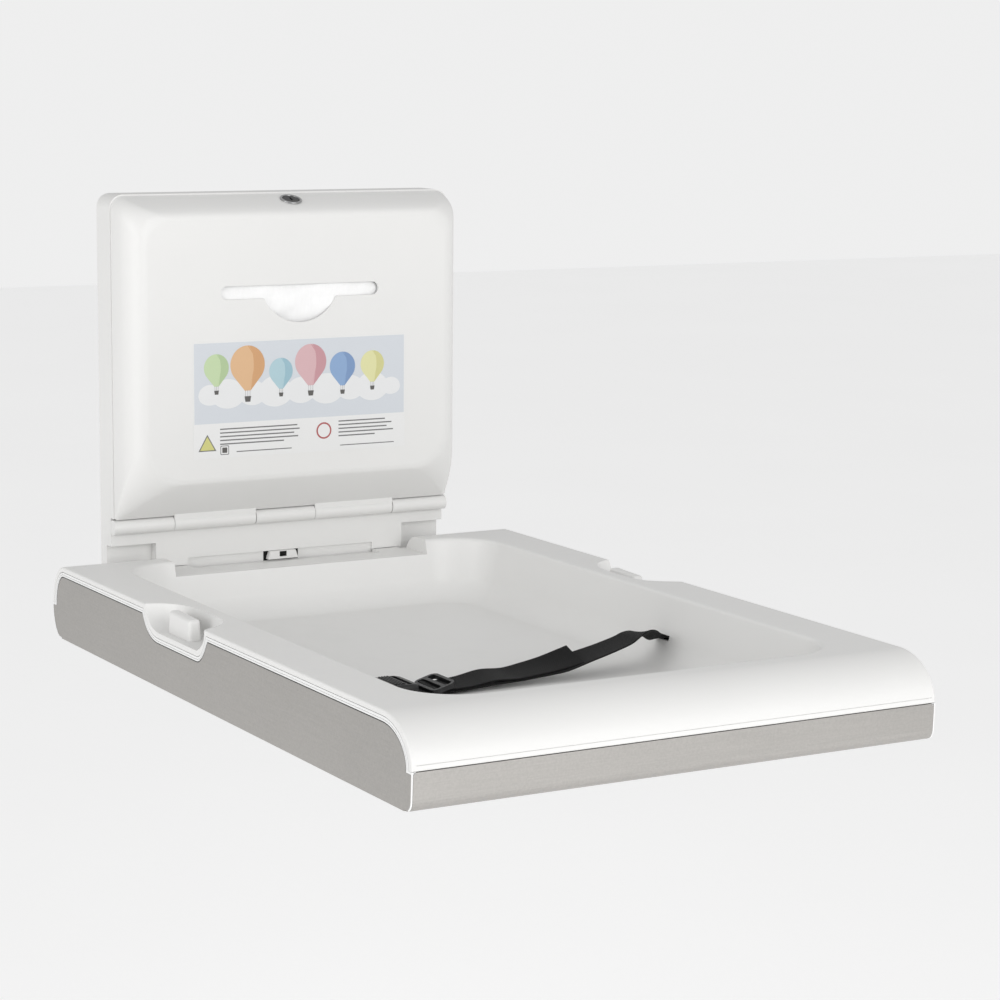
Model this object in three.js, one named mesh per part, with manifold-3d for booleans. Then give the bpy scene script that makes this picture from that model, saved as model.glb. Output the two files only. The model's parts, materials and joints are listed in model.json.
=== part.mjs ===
// Wall-mounted fold-down changing table, shown open. Millimetres, +Z up.
// X is the width, the wall is the plane y = 0 and the bed stands out along -Y.
// z = 0 is the rim of the open bed.
import * as THREE from 'three';
import { mergeVertices } from 'three/addons/utils/BufferGeometryUtils.js';
import Module from 'manifold-3d';

const wasm = await Module();
wasm.setup();

// driving dimensions
const GAP = 0.3; // clearance between touching pieces
const BED_HALF = 280; // half the bed's width
const BED_FRONT = -880; // front seam of the bed
const BED_BOTTOM = -81;
const SEAM_Z = -44; // where white meets steel at the front and the rear
const SKIN = 4; // wall of the moulded pieces
const STEEL = 1.2; // thickness of the cladding
const AXIS_Y = -63; // bed hinge axis
const AXIS_Z = -44;

const REAR_FLAT = -65; // the rim's flat top starts here and ends at FRONT_FLAT
const FRONT_FLAT = -825;
const REAR_ROLL = 33.5; // how far the rear roll stands behind REAR_FLAT
const FRONT_ROLL = FRONT_FLAT - BED_FRONT;

const BASIN_HALF = 226; // basin opening at the rim
const BASIN_REAR = -87;
const BASIN_FRONT = -810;
const BASIN_CORNER = 60;
const BASIN_DEPTH = 68;
const BASIN_DRAFT = 18; // how far the walls lean in over the depth
const BASIN_FILLET = 24;

const NOTCH_HALF = 158; // notch in the rear wall that clears the wall unit
const LEDGE_Z = -16.5;
const TROUGH_HALF = 117;

const RECESS_REAR = -296; // bag hook recess in each side rim
const RECESS_FRONT = -446;
const RECESS_DEPTH = 24.5;
const RECESS_WIDTH = 38;

const LIP = 5.4; // rim lip, then the edge trim, then the steel
const BAND = 10.4;

const PANEL_HALF = 210; // wall unit
const PANEL_TOP = 404;
const PANEL_BOTTOM = -92;
const PANEL_SEAM = -39; // plane where the cover meets the back plate
const PANEL_CORNER = 15;
const PLATE = 4; // rear wall of the back plate
const FACE_Y = -30.2; // white face under the knuckles
const POCKET_Y = -17.3;
const POCKET_HALF = 156; // the pockets lie outside this
const COVER_FRONT = -83;

const KNUCKLE_Y = -35;
const KNUCKLE_Z = 34;
const KNUCKLE_R = 8.5;
const KNUCKLE_SPLITS = [-210, -138.2, -37.3, 37.3, 138.2, 210];
const COVER_PIN_R = 2.5;

const ROD_R = 6;
const BRACKET_X = 185;
const BRACKET_T = 6;
const BLOCK_X = [191, 205];

const STRAP_Y = -530;
const STRAP_W = 38;
const STRAP_T = 1.6;
const FLOOR_Z = -BASIN_DEPTH;

// materials
function finish(color, roughness, metalness = 0) {
  return new THREE.MeshStandardMaterial({ color, roughness, metalness });
}
const whitePlastic = finish(0xeeedea, 0.42);
const trimPlastic = finish(0xf4f4f2, 0.38);
const nylon = finish(0xd8d6cf, 0.6);
const blackPlastic = finish(0x141416, 0.45);
const webbing = finish(0x101012, 0.85);
const brushedSteel = finish(0xa9a6a0, 0.38, 1);
const brightSteel = finish(0xc4c6c8, 0.25, 1);
const paper = finish(0xfafaf8, 0.9);
const labelFilm = finish(0xdfe5ec, 0.5);

// solids
function solidOf(geometry) {
  const bare = new THREE.BufferGeometry();
  bare.setAttribute('position', geometry.getAttribute('position').clone());
  if (geometry.index) bare.setIndex(geometry.index.clone());
  const merged = mergeVertices(bare, 1e-4);
  return new wasm.Manifold(new wasm.Mesh({
    numProp: 3,
    vertProperties: merged.attributes.position.array,
    triVerts: new Uint32Array(merged.index.array),
  }));
}

function geometryOf(solid) {
  const mesh = solid.getMesh();
  const geometry = new THREE.BufferGeometry();
  geometry.setAttribute('position', new THREE.BufferAttribute(mesh.vertProperties, 3));
  geometry.setIndex(new THREE.BufferAttribute(mesh.triVerts, 1));
  geometry.computeVertexNormals();
  return geometry;
}

function box(x0, x1, y0, y1, z0, z1) {
  const geometry = new THREE.BoxGeometry(x1 - x0, y1 - y0, z1 - z0);
  geometry.translate((x0 + x1) / 2, (y0 + y1) / 2, (z0 + z1) / 2);
  return solidOf(geometry);
}

function rodX(radius, x0, x1, y, z, sides = 24) {
  const geometry = new THREE.CylinderGeometry(radius, radius, x1 - x0, sides);
  geometry.rotateZ(Math.PI / 2);
  geometry.translate((x0 + x1) / 2, y, z);
  return solidOf(geometry);
}

function rodY(radius, y0, y1, x, z, sides = 16) {
  const geometry = new THREE.CylinderGeometry(radius, radius, y1 - y0, sides);
  geometry.translate(x, (y0 + y1) / 2, z);
  return solidOf(geometry);
}

function rodZ(radius, z0, z1, x, y, sides = 28) {
  const geometry = new THREE.CylinderGeometry(radius, radius, z1 - z0, sides);
  geometry.rotateX(Math.PI / 2);
  geometry.translate(x, y, (z0 + z1) / 2);
  return solidOf(geometry);
}

function placed(geometry, xAxis, yAxis, zAxis) {
  const basis = new THREE.Matrix4().makeBasis(
    new THREE.Vector3(...xAxis),
    new THREE.Vector3(...yAxis),
    new THREE.Vector3(...zAxis),
  );
  return geometry.applyMatrix4(basis);
}

// A shape drawn in (y, z), as a prism along X.
function prismX(shape, x0, x1, curveSegments = 9) {
  const geometry = new THREE.ExtrudeGeometry(shape, { depth: x1 - x0, bevelEnabled: false, curveSegments });
  placed(geometry, [0, 1, 0], [0, 0, 1], [1, 0, 0]);
  return solidOf(geometry.translate(x0, 0, 0));
}

// A shape drawn in (x, z), as a prism from y0 towards the front, down to y1.
function prismY(shape, y0, y1, curveSegments = 9) {
  const geometry = new THREE.ExtrudeGeometry(shape, { depth: y0 - y1, bevelEnabled: false, curveSegments });
  placed(geometry, [1, 0, 0], [0, 0, 1], [0, -1, 0]);
  return solidOf(geometry.translate(0, y0, 0));
}

// A shape drawn in (x, y), as a prism along Z.
function prismZ(shape, z0, z1, curveSegments = 9) {
  const geometry = new THREE.ExtrudeGeometry(shape, { depth: z1 - z0, bevelEnabled: false, curveSegments });
  return solidOf(geometry.translate(0, 0, z0));
}

// A closed body through rings of equal length, each a convex loop seen from the first ring's side.
function loft(rings) {
  const count = rings[0].length;
  const points = rings.flat();
  const faces = [];
  for (let r = 0; r + 1 < rings.length; r += 1) {
    for (let i = 0; i < count; i += 1) {
      const a = r * count + i;
      const b = r * count + ((i + 1) % count);
      faces.push(a, b, a + count, b, b + count, a + count);
    }
  }
  for (const [ring, flip] of [[0, true], [rings.length - 1, false]]) {
    const middle = new THREE.Vector3();
    rings[ring].forEach((p) => middle.addScaledVector(p, 1 / count));
    points.push(middle);
    for (let i = 0; i < count; i += 1) {
      const a = ring * count + i;
      const b = ring * count + ((i + 1) % count);
      faces.push(...(flip ? [points.length - 1, b, a] : [points.length - 1, a, b]));
    }
  }
  const geometry = new THREE.BufferGeometry().setFromPoints(points);
  geometry.setIndex(faces);
  return solidOf(geometry);
}

// Rounded rectangle as a counter-clockwise list of [u, v], the two top radii and the two lower radii equal.
function roundedLoop(u0, u1, v0, v1, lowRadius, topRadius, steps = 8) {
  const corners = [
    [u1 - lowRadius, v0 + lowRadius, lowRadius, -90],
    [u1 - topRadius, v1 - topRadius, topRadius, 0],
    [u0 + topRadius, v1 - topRadius, topRadius, 90],
    [u0 + lowRadius, v0 + lowRadius, lowRadius, 180],
  ];
  return corners.flatMap(([u, v, radius, start]) => {
    const arc = [];
    for (let i = 0; i <= steps; i += 1) {
      const angle = THREE.MathUtils.degToRad(start + (90 * i) / steps);
      arc.push([u + radius * Math.cos(angle), v + radius * Math.sin(angle)]);
    }
    return arc;
  });
}

function roundedShape(u0, u1, v0, v1, radius) {
  const loop = roundedLoop(u0, u1, v0, v1, radius, radius, 5);
  return new THREE.Shape(loop.map(([u, v]) => new THREE.Vector2(u, v)));
}

function polygon(points) {
  return new THREE.Shape(points.map(([u, v]) => new THREE.Vector2(u, v)));
}

// A copy moved by a matrix. A mirror turns the faces inside out, so their winding is turned back.
function moved(solid, matrix) {
  const geometry = geometryOf(solid).applyMatrix4(matrix);
  const index = geometry.index.array;
  for (let i = 0; matrix.determinant() < 0 && i < index.length; i += 3) {
    [index[i], index[i + 1]] = [index[i + 1], index[i]];
  }
  return solidOf(geometry);
}

function mirrored(solid) {
  return moved(solid, new THREE.Matrix4().makeScale(-1, 1, 1));
}

function union(...solids) {
  return solids.reduce((all, one) => all.add(one));
}

// the bed's outline
// Side view in (y, z), inset by d: a rear roll, a long front roll and a squared bottom.
function bedProfile(d) {
  const shape = new THREE.Shape();
  const bottom = BED_BOTTOM + d;
  shape.moveTo(-55, bottom);
  shape.absellipse(-55, -45, 23.5 - d, -45 - bottom, -Math.PI / 2, 0, false, 0);
  shape.absellipse(REAR_FLAT, -45, REAR_ROLL - d, 45 - d, 0, Math.PI / 2, false, 0);
  shape.lineTo(FRONT_FLAT, -d);
  shape.absellipse(FRONT_FLAT, SEAM_Z, FRONT_ROLL - d, -SEAM_Z - d, Math.PI / 2, Math.PI, false, 0);
  shape.lineTo(BED_FRONT + 1 + d, -68);
  shape.quadraticCurveTo(BED_FRONT + 1 + d, bottom, BED_FRONT + 14, bottom);
  return shape;
}

// Side view of the hook recess, grown by d.
function recessSide(d) {
  const floor = -RECESS_DEPTH - d;
  const shape = new THREE.Shape();
  shape.moveTo(RECESS_REAR + d, 6);
  shape.lineTo(RECESS_REAR + d, -1.5);
  shape.quadraticCurveTo(RECESS_REAR - 10 + d, floor, RECESS_REAR - 34, floor);
  shape.lineTo(RECESS_FRONT + 19, floor);
  shape.bezierCurveTo(RECESS_FRONT + 6, floor, RECESS_FRONT + 4 - d, -12, RECESS_FRONT - d, -4);
  shape.lineTo(RECESS_FRONT - d, 6);
  return shape;
}

// Plan of the hook recess on the +X side, grown by d.
function recessPlan(d) {
  const inner = BED_HALF - RECESS_WIDTH - d;
  const shape = new THREE.Shape();
  shape.moveTo(BED_HALF + 20, RECESS_REAR + d);
  shape.lineTo(BED_HALF, RECESS_REAR + d);
  shape.bezierCurveTo(BED_HALF - 26, RECESS_REAR - 6 + d, inner, RECESS_REAR - 30, inner, RECESS_REAR - 62);
  shape.lineTo(inner, RECESS_FRONT + 50);
  const nearFront = [inner, RECESS_FRONT + 22, BED_HALF - 22 - d, RECESS_FRONT + 14];
  shape.bezierCurveTo(...nearFront, BED_HALF, RECESS_FRONT - d);
  shape.lineTo(BED_HALF + 20, RECESS_FRONT - d);
  return shape;
}

function recess(d) {
  const side = prismX(recessSide(d), BED_HALF - RECESS_WIDTH - 12, BED_HALF + 12, 8);
  return side.intersect(prismZ(recessPlan(d), -60, 12, 8));
}

// The basin as a solid, grown by d: the walls lean in and meet the floor in a fillet.
function basin(d) {
  const rings = [];
  const addRing = (z, inset) => {
    const r = Math.max(BASIN_CORNER + d - inset * 0.5, 6);
    const loop = roundedLoop(
      -BASIN_HALF - d + inset, BASIN_HALF + d - inset,
      BASIN_FRONT - d + inset, BASIN_REAR + d - inset, r, r, 7,
    );
    rings.push(loop.map(([x, y]) => new THREE.Vector3(x, y, z)));
  };
  const lean = (z) => (BASIN_DRAFT * -z) / BASIN_DEPTH;
  const filletTop = FLOOR_Z - d + BASIN_FILLET;
  const steps = 6;
  for (let i = 0; i <= steps; i += 1) {
    const angle = (Math.PI / 2) * (1 - i / steps);
    const z = filletTop - BASIN_FILLET * Math.sin(angle);
    addRing(z, lean(z) + BASIN_FILLET * (1 - Math.cos(angle)));
  }
  addRing(0, 0);
  addRing(12, -3);
  return loft(rings);
}

// The arc swept by the fixed hinge arms, as seen from the bed.
function armSweep(x0, x1) {
  const shape = new THREE.Shape();
  const from = THREE.MathUtils.degToRad(-56);
  const to = THREE.MathUtils.degToRad(70);
  shape.absarc(AXIS_Y, AXIS_Z, 60, from, to, false);
  shape.absarc(AXIS_Y, AXIS_Z, 22, to, from, true);
  return prismX(shape, x0, x1, 10);
}

function bothSides(make) {
  const right = make();
  return right.add(mirrored(right));
}

const armSlots = bothSides(() => armSweep(BRACKET_X - 4.5, BRACKET_X + 4.5));

// bed pieces
function makeTray() {
  const wallX = BED_HALF - 4.4; // the trim and the steel stand outside this
  const body = prismX(bedProfile(0), -BED_HALF, BED_HALF);
  const sideCut = prismX(bedProfile(LIP), wallX, BED_HALF + 1)
    .subtract(prismX(recessSide(LIP), wallX - 1, BED_HALF + 2, 8));
  const hollow = prismX(bedProfile(SKIN), -wallX + SKIN, wallX - SKIN)
    .subtract(box(-NOTCH_HALF - SKIN, NOTCH_HALF + SKIN, BASIN_REAR - 14, -10, LEDGE_Z - SKIN, 12))
    .subtract(bothSides(() => recess(SKIN)))
    .subtract(basin(SKIN));
  const belowSeam = box(-300, 300, BED_FRONT - 9, 0, BED_BOTTOM - 9, SEAM_Z + GAP).subtract(basin(SKIN));
  const notch = box(-NOTCH_HALF, NOTCH_HALF, BASIN_REAR - 8, -10, LEDGE_Z, 12);
  const ledgeLip = box(-NOTCH_HALF + 8, NOTCH_HALF - 8, -42, FACE_Y - 1, LEDGE_Z - 4, LEDGE_Z);
  const trough = prismZ(roundedShape(-TROUGH_HALF, TROUGH_HALF, -56, 0, 7), LEDGE_Z - 2.2, LEDGE_Z + 1);
  const strapSlits = bothSides(() => box(196, 221, STRAP_Y - 22, STRAP_Y + 22, -44, -39.5));
  return body
    .subtract(sideCut.add(mirrored(sideCut)))
    .subtract(hollow)
    .subtract(belowSeam)
    .subtract(basin(0))
    .subtract(notch)
    .add(ledgeLip)
    .subtract(trough)
    .subtract(bothSides(() => recess(0)))
    .subtract(armSlots)
    .subtract(strapSlits);
}

// White profile on the +X side: a band under the lip, and a bead down each end of the steel.
function makeEdgeTrim() {
  const [inner, outer] = [BED_HALF - 4.1, BED_HALF];
  const [y0, y1] = [BED_FRONT - 1, -20];
  const whole = (d) => prismX(bedProfile(d), inner, outer);
  const upTo = (d) => whole(d).subtract(prismX(recessSide(d), inner - 1, outer + 1, 8));
  const aboveSeam = box(inner - 1, outer + 1, y0, y1, SEAM_Z - 2, 9);
  const band = upTo(LIP + GAP).subtract(upTo(BAND)).intersect(aboveSeam);
  const bead = whole(0).subtract(prismX(bedProfile(2.2), inner - 1, outer + 1));
  const endBead = (from, to) => bead.intersect(box(inner, outer, from, to, BED_BOTTOM + 1.5, SEAM_Z - 1));
  const shoulder = whole(0)
    .subtract(prismX(bedProfile(BAND), inner - 1, outer + 1))
    .intersect(box(inner, outer, y0, y1, SEAM_Z - 2, SEAM_Z));
  return union(band, shoulder, endBead(y0, y0 + 14), endBead(-54, y1));
}

function makeSidePlate() {
  const [inner, outer] = [BED_HALF - 0.3 - STEEL, BED_HALF - 0.3];
  const gap = BAND + GAP;
  const upper = prismX(bedProfile(gap), inner, outer)
    .subtract(prismX(recessSide(gap), inner - 1, outer + 1, 8));
  const lower = prismX(bedProfile(2.5), inner, outer)
    .intersect(box(inner, outer, BED_FRONT, 0, BED_BOTTOM, SEAM_Z - 2.3));
  const hem = box(inner, outer, BED_FRONT + 15, -56, BED_BOTTOM, BED_BOTTOM + 6);
  return union(upper, lower, hem);
}

function makeCladdingPan() {
  const half = BED_HALF - 4.5;
  return prismX(bedProfile(0), -half, half)
    .subtract(prismX(bedProfile(STEEL), -half - 1, half + 1))
    .subtract(box(-300, 300, BED_FRONT - 9, 0, SEAM_Z - GAP, 9))
    .subtract(armSlots);
}

function makeBagHook() {
  const shape = roundedShape(BED_HALF - 24, BED_HALF - 10, -386, -332, 4);
  const top = new THREE.Shape();
  top.moveTo(-392, -24.2);
  top.lineTo(-326, -24.2);
  top.lineTo(-326, -1);
  top.lineTo(-378, -3.5);
  top.quadraticCurveTo(-386, -4, -387, -10);
  top.lineTo(-392, -10);
  return prismZ(shape, -24.2, 0).intersect(prismX(top, 240, 285));
}

const stopPin = { y: -54.1, z: -64.2, r: 4 };

function makeBearingBlock() {
  return prismX(bedProfile(SKIN + GAP), ...BLOCK_X)
    .intersect(box(...BLOCK_X, -84, -30, -71, 0))
    .subtract(basin(SKIN + GAP))
    .subtract(rodX(9.3, 180, 220, AXIS_Y, AXIS_Z))
    .subtract(rodX(stopPin.r + GAP, 180, 220, stopPin.y, stopPin.z, 20));
}

function makeHingeBush() {
  return rodX(9, BLOCK_X[0] - 1.5, BLOCK_X[1] + 1.3, AXIS_Y, AXIS_Z)
    .subtract(rodX(ROD_R + 0.06, 180, 220, AXIS_Y, AXIS_Z));
}

function makeDamper() {
  const housing = rodX(14, 92, 148, AXIS_Y, AXIS_Z);
  const foot = box(98, 142, AXIS_Y - 9, AXIS_Y + 9, AXIS_Z, LEDGE_Z - SKIN - GAP);
  return housing.add(foot).subtract(rodX(ROD_R + GAP, 80, 160, AXIS_Y, AXIS_Z));
}

function makeAnchorBar() {
  const plate = box(223, 225, STRAP_Y - 30, STRAP_Y + 30, -58, -30);
  const hole = box(220, 228, STRAP_Y - 21, STRAP_Y + 21, -45, -38.5);
  return plate.subtract(hole);
}

// Webbing laid along a path drawn in (x, z), with the strap's width along Y.
function makeStrap(points) {
  const path = new THREE.SplineCurve(points.map(([x, z]) => new THREE.Vector2(x, z)));
  const steps = points.length * 3;
  const edge = (side) => {
    const line = [];
    for (let i = 0; i <= steps; i += 1) {
      const tangent = path.getTangent(i / steps);
      const normal = new THREE.Vector2(-tangent.y, tangent.x);
      line.push(path.getPoint(i / steps).addScaledVector(normal, (side * STRAP_T) / 2));
    }
    return line;
  };
  const ribbon = new THREE.Shape([...edge(1), ...edge(-1).reverse()]);
  return prismY(ribbon, STRAP_Y + STRAP_W / 2, STRAP_Y - STRAP_W / 2);
}

// buckle
const BUCKLE_Z = -56;
const FEMALE_X = [-174, -124];
const ADJUSTER_X = [-86, -52];

function makeBuckleFemale() {
  const [x0, x1] = FEMALE_X;
  const outline = roundedShape(x0, x1, STRAP_Y - 24, STRAP_Y + 24, 6);
  const mouth = box(x0 + 14, x1 + 1, STRAP_Y - 17.5, STRAP_Y + 17.5, BUCKLE_Z - 3.6, BUCKLE_Z + 3.6);
  const windows = box(x0 + 20, x1 - 12, STRAP_Y - 30, STRAP_Y + 30, BUCKLE_Z - 3.6, BUCKLE_Z + 3.6);
  const webSlot = box(x0 + 4.5, x0 + 9, STRAP_Y - 20, STRAP_Y + 20, BUCKLE_Z - 9, BUCKLE_Z + 9);
  return prismZ(outline, BUCKLE_Z - 6, BUCKLE_Z + 6).subtract(union(mouth, windows, webSlot));
}

function makeBuckleMale() {
  const mouth = FEMALE_X[1];
  const [low, high] = [BUCKLE_Z - 3, BUCKLE_Z + 3];
  const outline = roundedShape(mouth + GAP, mouth + 26, STRAP_Y - 24, STRAP_Y + 24, 5);
  const base = prismZ(outline, BUCKLE_Z - 5, BUCKLE_Z + 5);
  const slot = box(mouth + 15, mouth + 20, STRAP_Y - 20, STRAP_Y + 20, BUCKLE_Z - 9, BUCKLE_Z + 9);
  const tongue = box(mouth - 30, mouth + 2, STRAP_Y - 4, STRAP_Y + 4, low, high);
  const prong = (side) => {
    const points = [[2, 3], [-30, 7.5], [-31, 11], [-20, 16.8], [-13, 16.8], [-13, 10], [2, 8]];
    return prismZ(polygon(points.map(([x, y]) => [mouth + x, STRAP_Y + side * y])), low, high);
  };
  return union(base, tongue, prong(1), prong(-1)).subtract(slot);
}

function makeAdjuster() {
  const [x0, x1] = ADJUSTER_X;
  const bottom = FLOOR_Z + 4.7;
  const outline = roundedShape(x0, x1, STRAP_Y - 26, STRAP_Y + 26, 6);
  const window = (x) => box(x, x + 8, STRAP_Y - 21, STRAP_Y + 21, bottom - 6, bottom + 9);
  return prismZ(outline, bottom, bottom + 5).subtract(window(x0 + 4)).subtract(window(x1 - 12));
}

// wall unit
const FACE_BOTTOM = -16;
const POCKET_TOP = 12;
const STRIP_TOP = 25;
const PAD_Y = -10; // pads under the pockets, where the hinge brackets are screwed on
const SHELF_Z = 44.5;
const wallScrews = [[-165, 362], [165, 362], [-120, -62], [120, -62]];
const bracketScrews = [[-194, -68], [-165, -74], [165, -74], [194, -68]];

function knuckle(x0, x1) {
  return rodX(KNUCKLE_R, x0 + GAP, x1 - GAP, KNUCKLE_Y, KNUCKLE_Z);
}

function makeBackPlate() {
  const half = PANEL_HALF;
  const outline = roundedShape(-half, half, PANEL_BOTTOM, PANEL_TOP, PANEL_CORNER);
  const inside = roundedShape(-half + 4, half - 4, PANEL_BOTTOM + 4, PANEL_TOP - 4, PANEL_CORNER - 4);
  const frame = prismY(outline, 0, PANEL_SEAM + GAP).subtract(prismY(inside, 1, PANEL_SEAM - 2));
  const upper = frame.intersect(box(-half, half, -60, 0, SHELF_Z, PANEL_TOP + 1));
  const middle = frame.intersect(box(-half, half, FACE_Y, 0, POCKET_TOP, SHELF_Z + 1));
  const lower = frame.intersect(box(-half, half, POCKET_Y, 0, -50, POCKET_TOP + 1));
  const foot = frame.intersect(box(-half, half, PAD_Y, 0, PANEL_BOTTOM, -49));
  const rear = prismY(outline, 0, -PLATE);
  const shelf = box(-half, half, PANEL_SEAM + GAP, 0, SHELF_Z, SHELF_Z + 4);
  const behindKnuckles = box(-half, half, -26, -22, STRIP_TOP - 2, SHELF_Z + 1);
  const strip = box(-half, half, FACE_Y, FACE_Y + 5, POCKET_TOP, STRIP_TOP)
    .add(box(-half, half, FACE_Y, -22, STRIP_TOP - 4, STRIP_TOP));
  const face = box(-POCKET_HALF, POCKET_HALF, FACE_Y, FACE_Y + 4, FACE_BOTTOM, STRIP_TOP)
    .subtract(box(-TROUGH_HALF, TROUGH_HALF, FACE_Y - 1, FACE_Y + 5, FACE_BOTTOM - 1, -8));
  const troughBack = box(-TROUGH_HALF - 4, TROUGH_HALF + 4, FACE_Y + 3, FACE_Y + 6, FACE_BOTTOM - 4.5, -2);
  const pocket = () => union(
    box(POCKET_HALF - 4, POCKET_HALF, FACE_Y, 0, FACE_BOTTOM, STRIP_TOP),
    box(POCKET_HALF - 4, half, FACE_Y, POCKET_Y + 4, POCKET_TOP, POCKET_TOP + 4),
    box(POCKET_HALF - 4, half, POCKET_Y, POCKET_Y + 4, -46, POCKET_TOP + 4),
    box(POCKET_HALF - 4, half, POCKET_Y + 1, 0, -50, -46),
    box(POCKET_HALF - 4, POCKET_HALF, POCKET_Y + 1, 0, -50, FACE_BOTTOM + 1),
    box(POCKET_HALF - 4, half - 2, PAD_Y, -1, PANEL_BOTTOM + 2, -54),
  );
  const knuckles = [0, 2, 4].map((i) => {
    const [x0, x1] = [KNUCKLE_SPLITS[i], KNUCKLE_SPLITS[i + 1]];
    const web = box(x0 + GAP, x1 - GAP, KNUCKLE_Y, -23, KNUCKLE_Z - 7, KNUCKLE_Z + 6);
    return knuckle(x0, x1).add(web);
  });
  const holes = union(
    ...wallScrews.map(([x, z]) => rodY(4, -30, 5, x, z)),
    ...bracketScrews.map(([x, z]) => rodY(3.3, -30, 5, x, z)),
    rodX(COVER_PIN_R + GAP, -half + 3, half - 3, KNUCKLE_Y, KNUCKLE_Z, 20),
  );
  const walls = union(rear, upper, middle, lower, foot, shelf);
  const faces = union(behindKnuckles, strip, face, troughBack, bothSides(pocket));
  return union(walls, faces, ...knuckles).subtract(holes);
}

// Outline of the cover at a depth, as [y, half width, low z, high z, low radius, top radius].
const COVER_SECTIONS = [
  [PANEL_SEAM - GAP, 209, 43, 402, 4, 15],
  [-50, 208.4, 52, 399, 14, 16],
  [-62, 206, 63.5, 394.5, 26, 18],
  [-72, 201, 73.5, 390, 36, 21],
  [-79, 195, 81, 385.5, 42, 24],
  [-82, 190, 85, 381.5, 44, 26],
  [COVER_FRONT, 184, 90, 376, 44, 28],
];

function coverVolume(inset, yShift) {
  const rings = COVER_SECTIONS.map(([y, half, low, high, lowR, topR]) => {
    const loop = roundedLoop(-half + inset, half - inset, low + inset, high - inset, lowR, topR, 7);
    return loop.map(([x, z]) => new THREE.Vector3(x, y + yShift, z));
  });
  return loft(rings);
}

const lockPlace = new THREE.Matrix4().makeRotationX(THREE.MathUtils.degToRad(20)).setPosition(0, -58, 396);

function atLock(solid) {
  return moved(solid, lockPlace);
}

function makeCover() {
  const back = box(-206, 206, PANEL_SEAM - 4, PANEL_SEAM + 6, 47, 398);
  const cavity = coverVolume(3, 3).add(back.intersect(coverVolume(3, 4).add(coverVolume(3, 0))));
  const slot = new THREE.Shape();
  const [slotHalf, low, high] = [98, 288, 303];
  const radius = (high - low) / 2;
  slot.absarc(slotHalf - radius, low + radius, radius, -Math.PI / 2, Math.PI / 2, false);
  slot.absarc(-slotHalf + radius, low + radius, radius, Math.PI / 2, (3 * Math.PI) / 2, false);
  const finger = new THREE.Shape();
  const start = Math.asin(22 / 50);
  finger.absarc(0, low + 22, 50, Math.PI + start, 2 * Math.PI - start, false);
  const opening = prismY(slot, -70, -90).add(prismY(finger, -70, -90, 24));
  const webs = [1, 3].map((i) => {
    const [x0, x1] = [KNUCKLE_SPLITS[i], KNUCKLE_SPLITS[i + 1]];
    const web = box(x0 + GAP, x1 - GAP, PANEL_SEAM - 2.6, PANEL_SEAM - GAP, KNUCKLE_Z + 4, 46.2);
    return knuckle(x0, x1).add(web);
  });
  const boss = atLock(rodZ(15, -6, -0.2, 0, 0)).intersect(coverVolume(0, 0));
  return coverVolume(0, 0)
    .subtract(cavity)
    .subtract(opening)
    .add(boss)
    .subtract(atLock(rodZ(13, -0.2, 9, 0, 0)))
    .subtract(atLock(rodZ(11.3, -20, 9, 0, 0)))
    .add(union(...webs))
    .subtract(rodX(COVER_PIN_R + GAP, -190, 190, KNUCKLE_Y, KNUCKLE_Z, 20));
}

function makeBracket() {
  const along = THREE.MathUtils.degToRad(-38);
  const [c, s] = [Math.cos(along), Math.sin(along)];
  const at = (r, side) => [AXIS_Y + r * c - side * s, AXIS_Z + r * s + side * c];
  const x0 = BRACKET_X - BRACKET_T / 2;
  const arm = prismX(polygon([at(0, -6), at(62, -6), at(62, 6), at(0, 6)]), x0, x0 + BRACKET_T)
    .intersect(box(x0, x0 + BRACKET_T, -90, -10.4, -99, 0));
  const hub = rodX(12, x0, x0 + BRACKET_T, AXIS_Y, AXIS_Z);
  const flange = box(158, 200, PAD_Y - 4, PAD_Y - GAP, PANEL_BOTTOM + 5, -62);
  return union(arm, hub, flange)
    .subtract(rodX(ROD_R + GAP, 170, 200, AXIS_Y, AXIS_Z))
    .subtract(union(...bracketScrews.slice(2).map(([x, z]) => rodY(3.3, -20, -5, x, z))));
}

function makeScrew(x, z, seat, tip, headR, headH, shankR) {
  const head = rodY(headR, seat - headH, seat, x, z);
  const shank = rodY(shankR, seat - 1, tip, x, z, 12);
  const socket = rodY(headR * 0.45, seat - headH - 1, seat - headH * 0.4, x, z, 6);
  return head.add(shank).subtract(socket);
}

function makeKeeper() {
  const post = atLock(rodZ(3, -46, -22, -9, 12.2, 20));
  const arm = box(-15, -3, -41, -PLATE - GAP, 355, 359.5);
  return post.add(arm);
}

// assembly
const changingTable = new THREE.Group();
changingTable.name = 'changing_table';

function addPiece(name, solid, material) {
  const mesh = new THREE.Mesh(geometryOf(solid), material);
  mesh.name = name;
  changingTable.add(mesh);
}

function addPair(name, solid, material) {
  addPiece(`${name}_right`, solid, material);
  addPiece(`${name}_left`, mirrored(solid), material);
}

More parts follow.
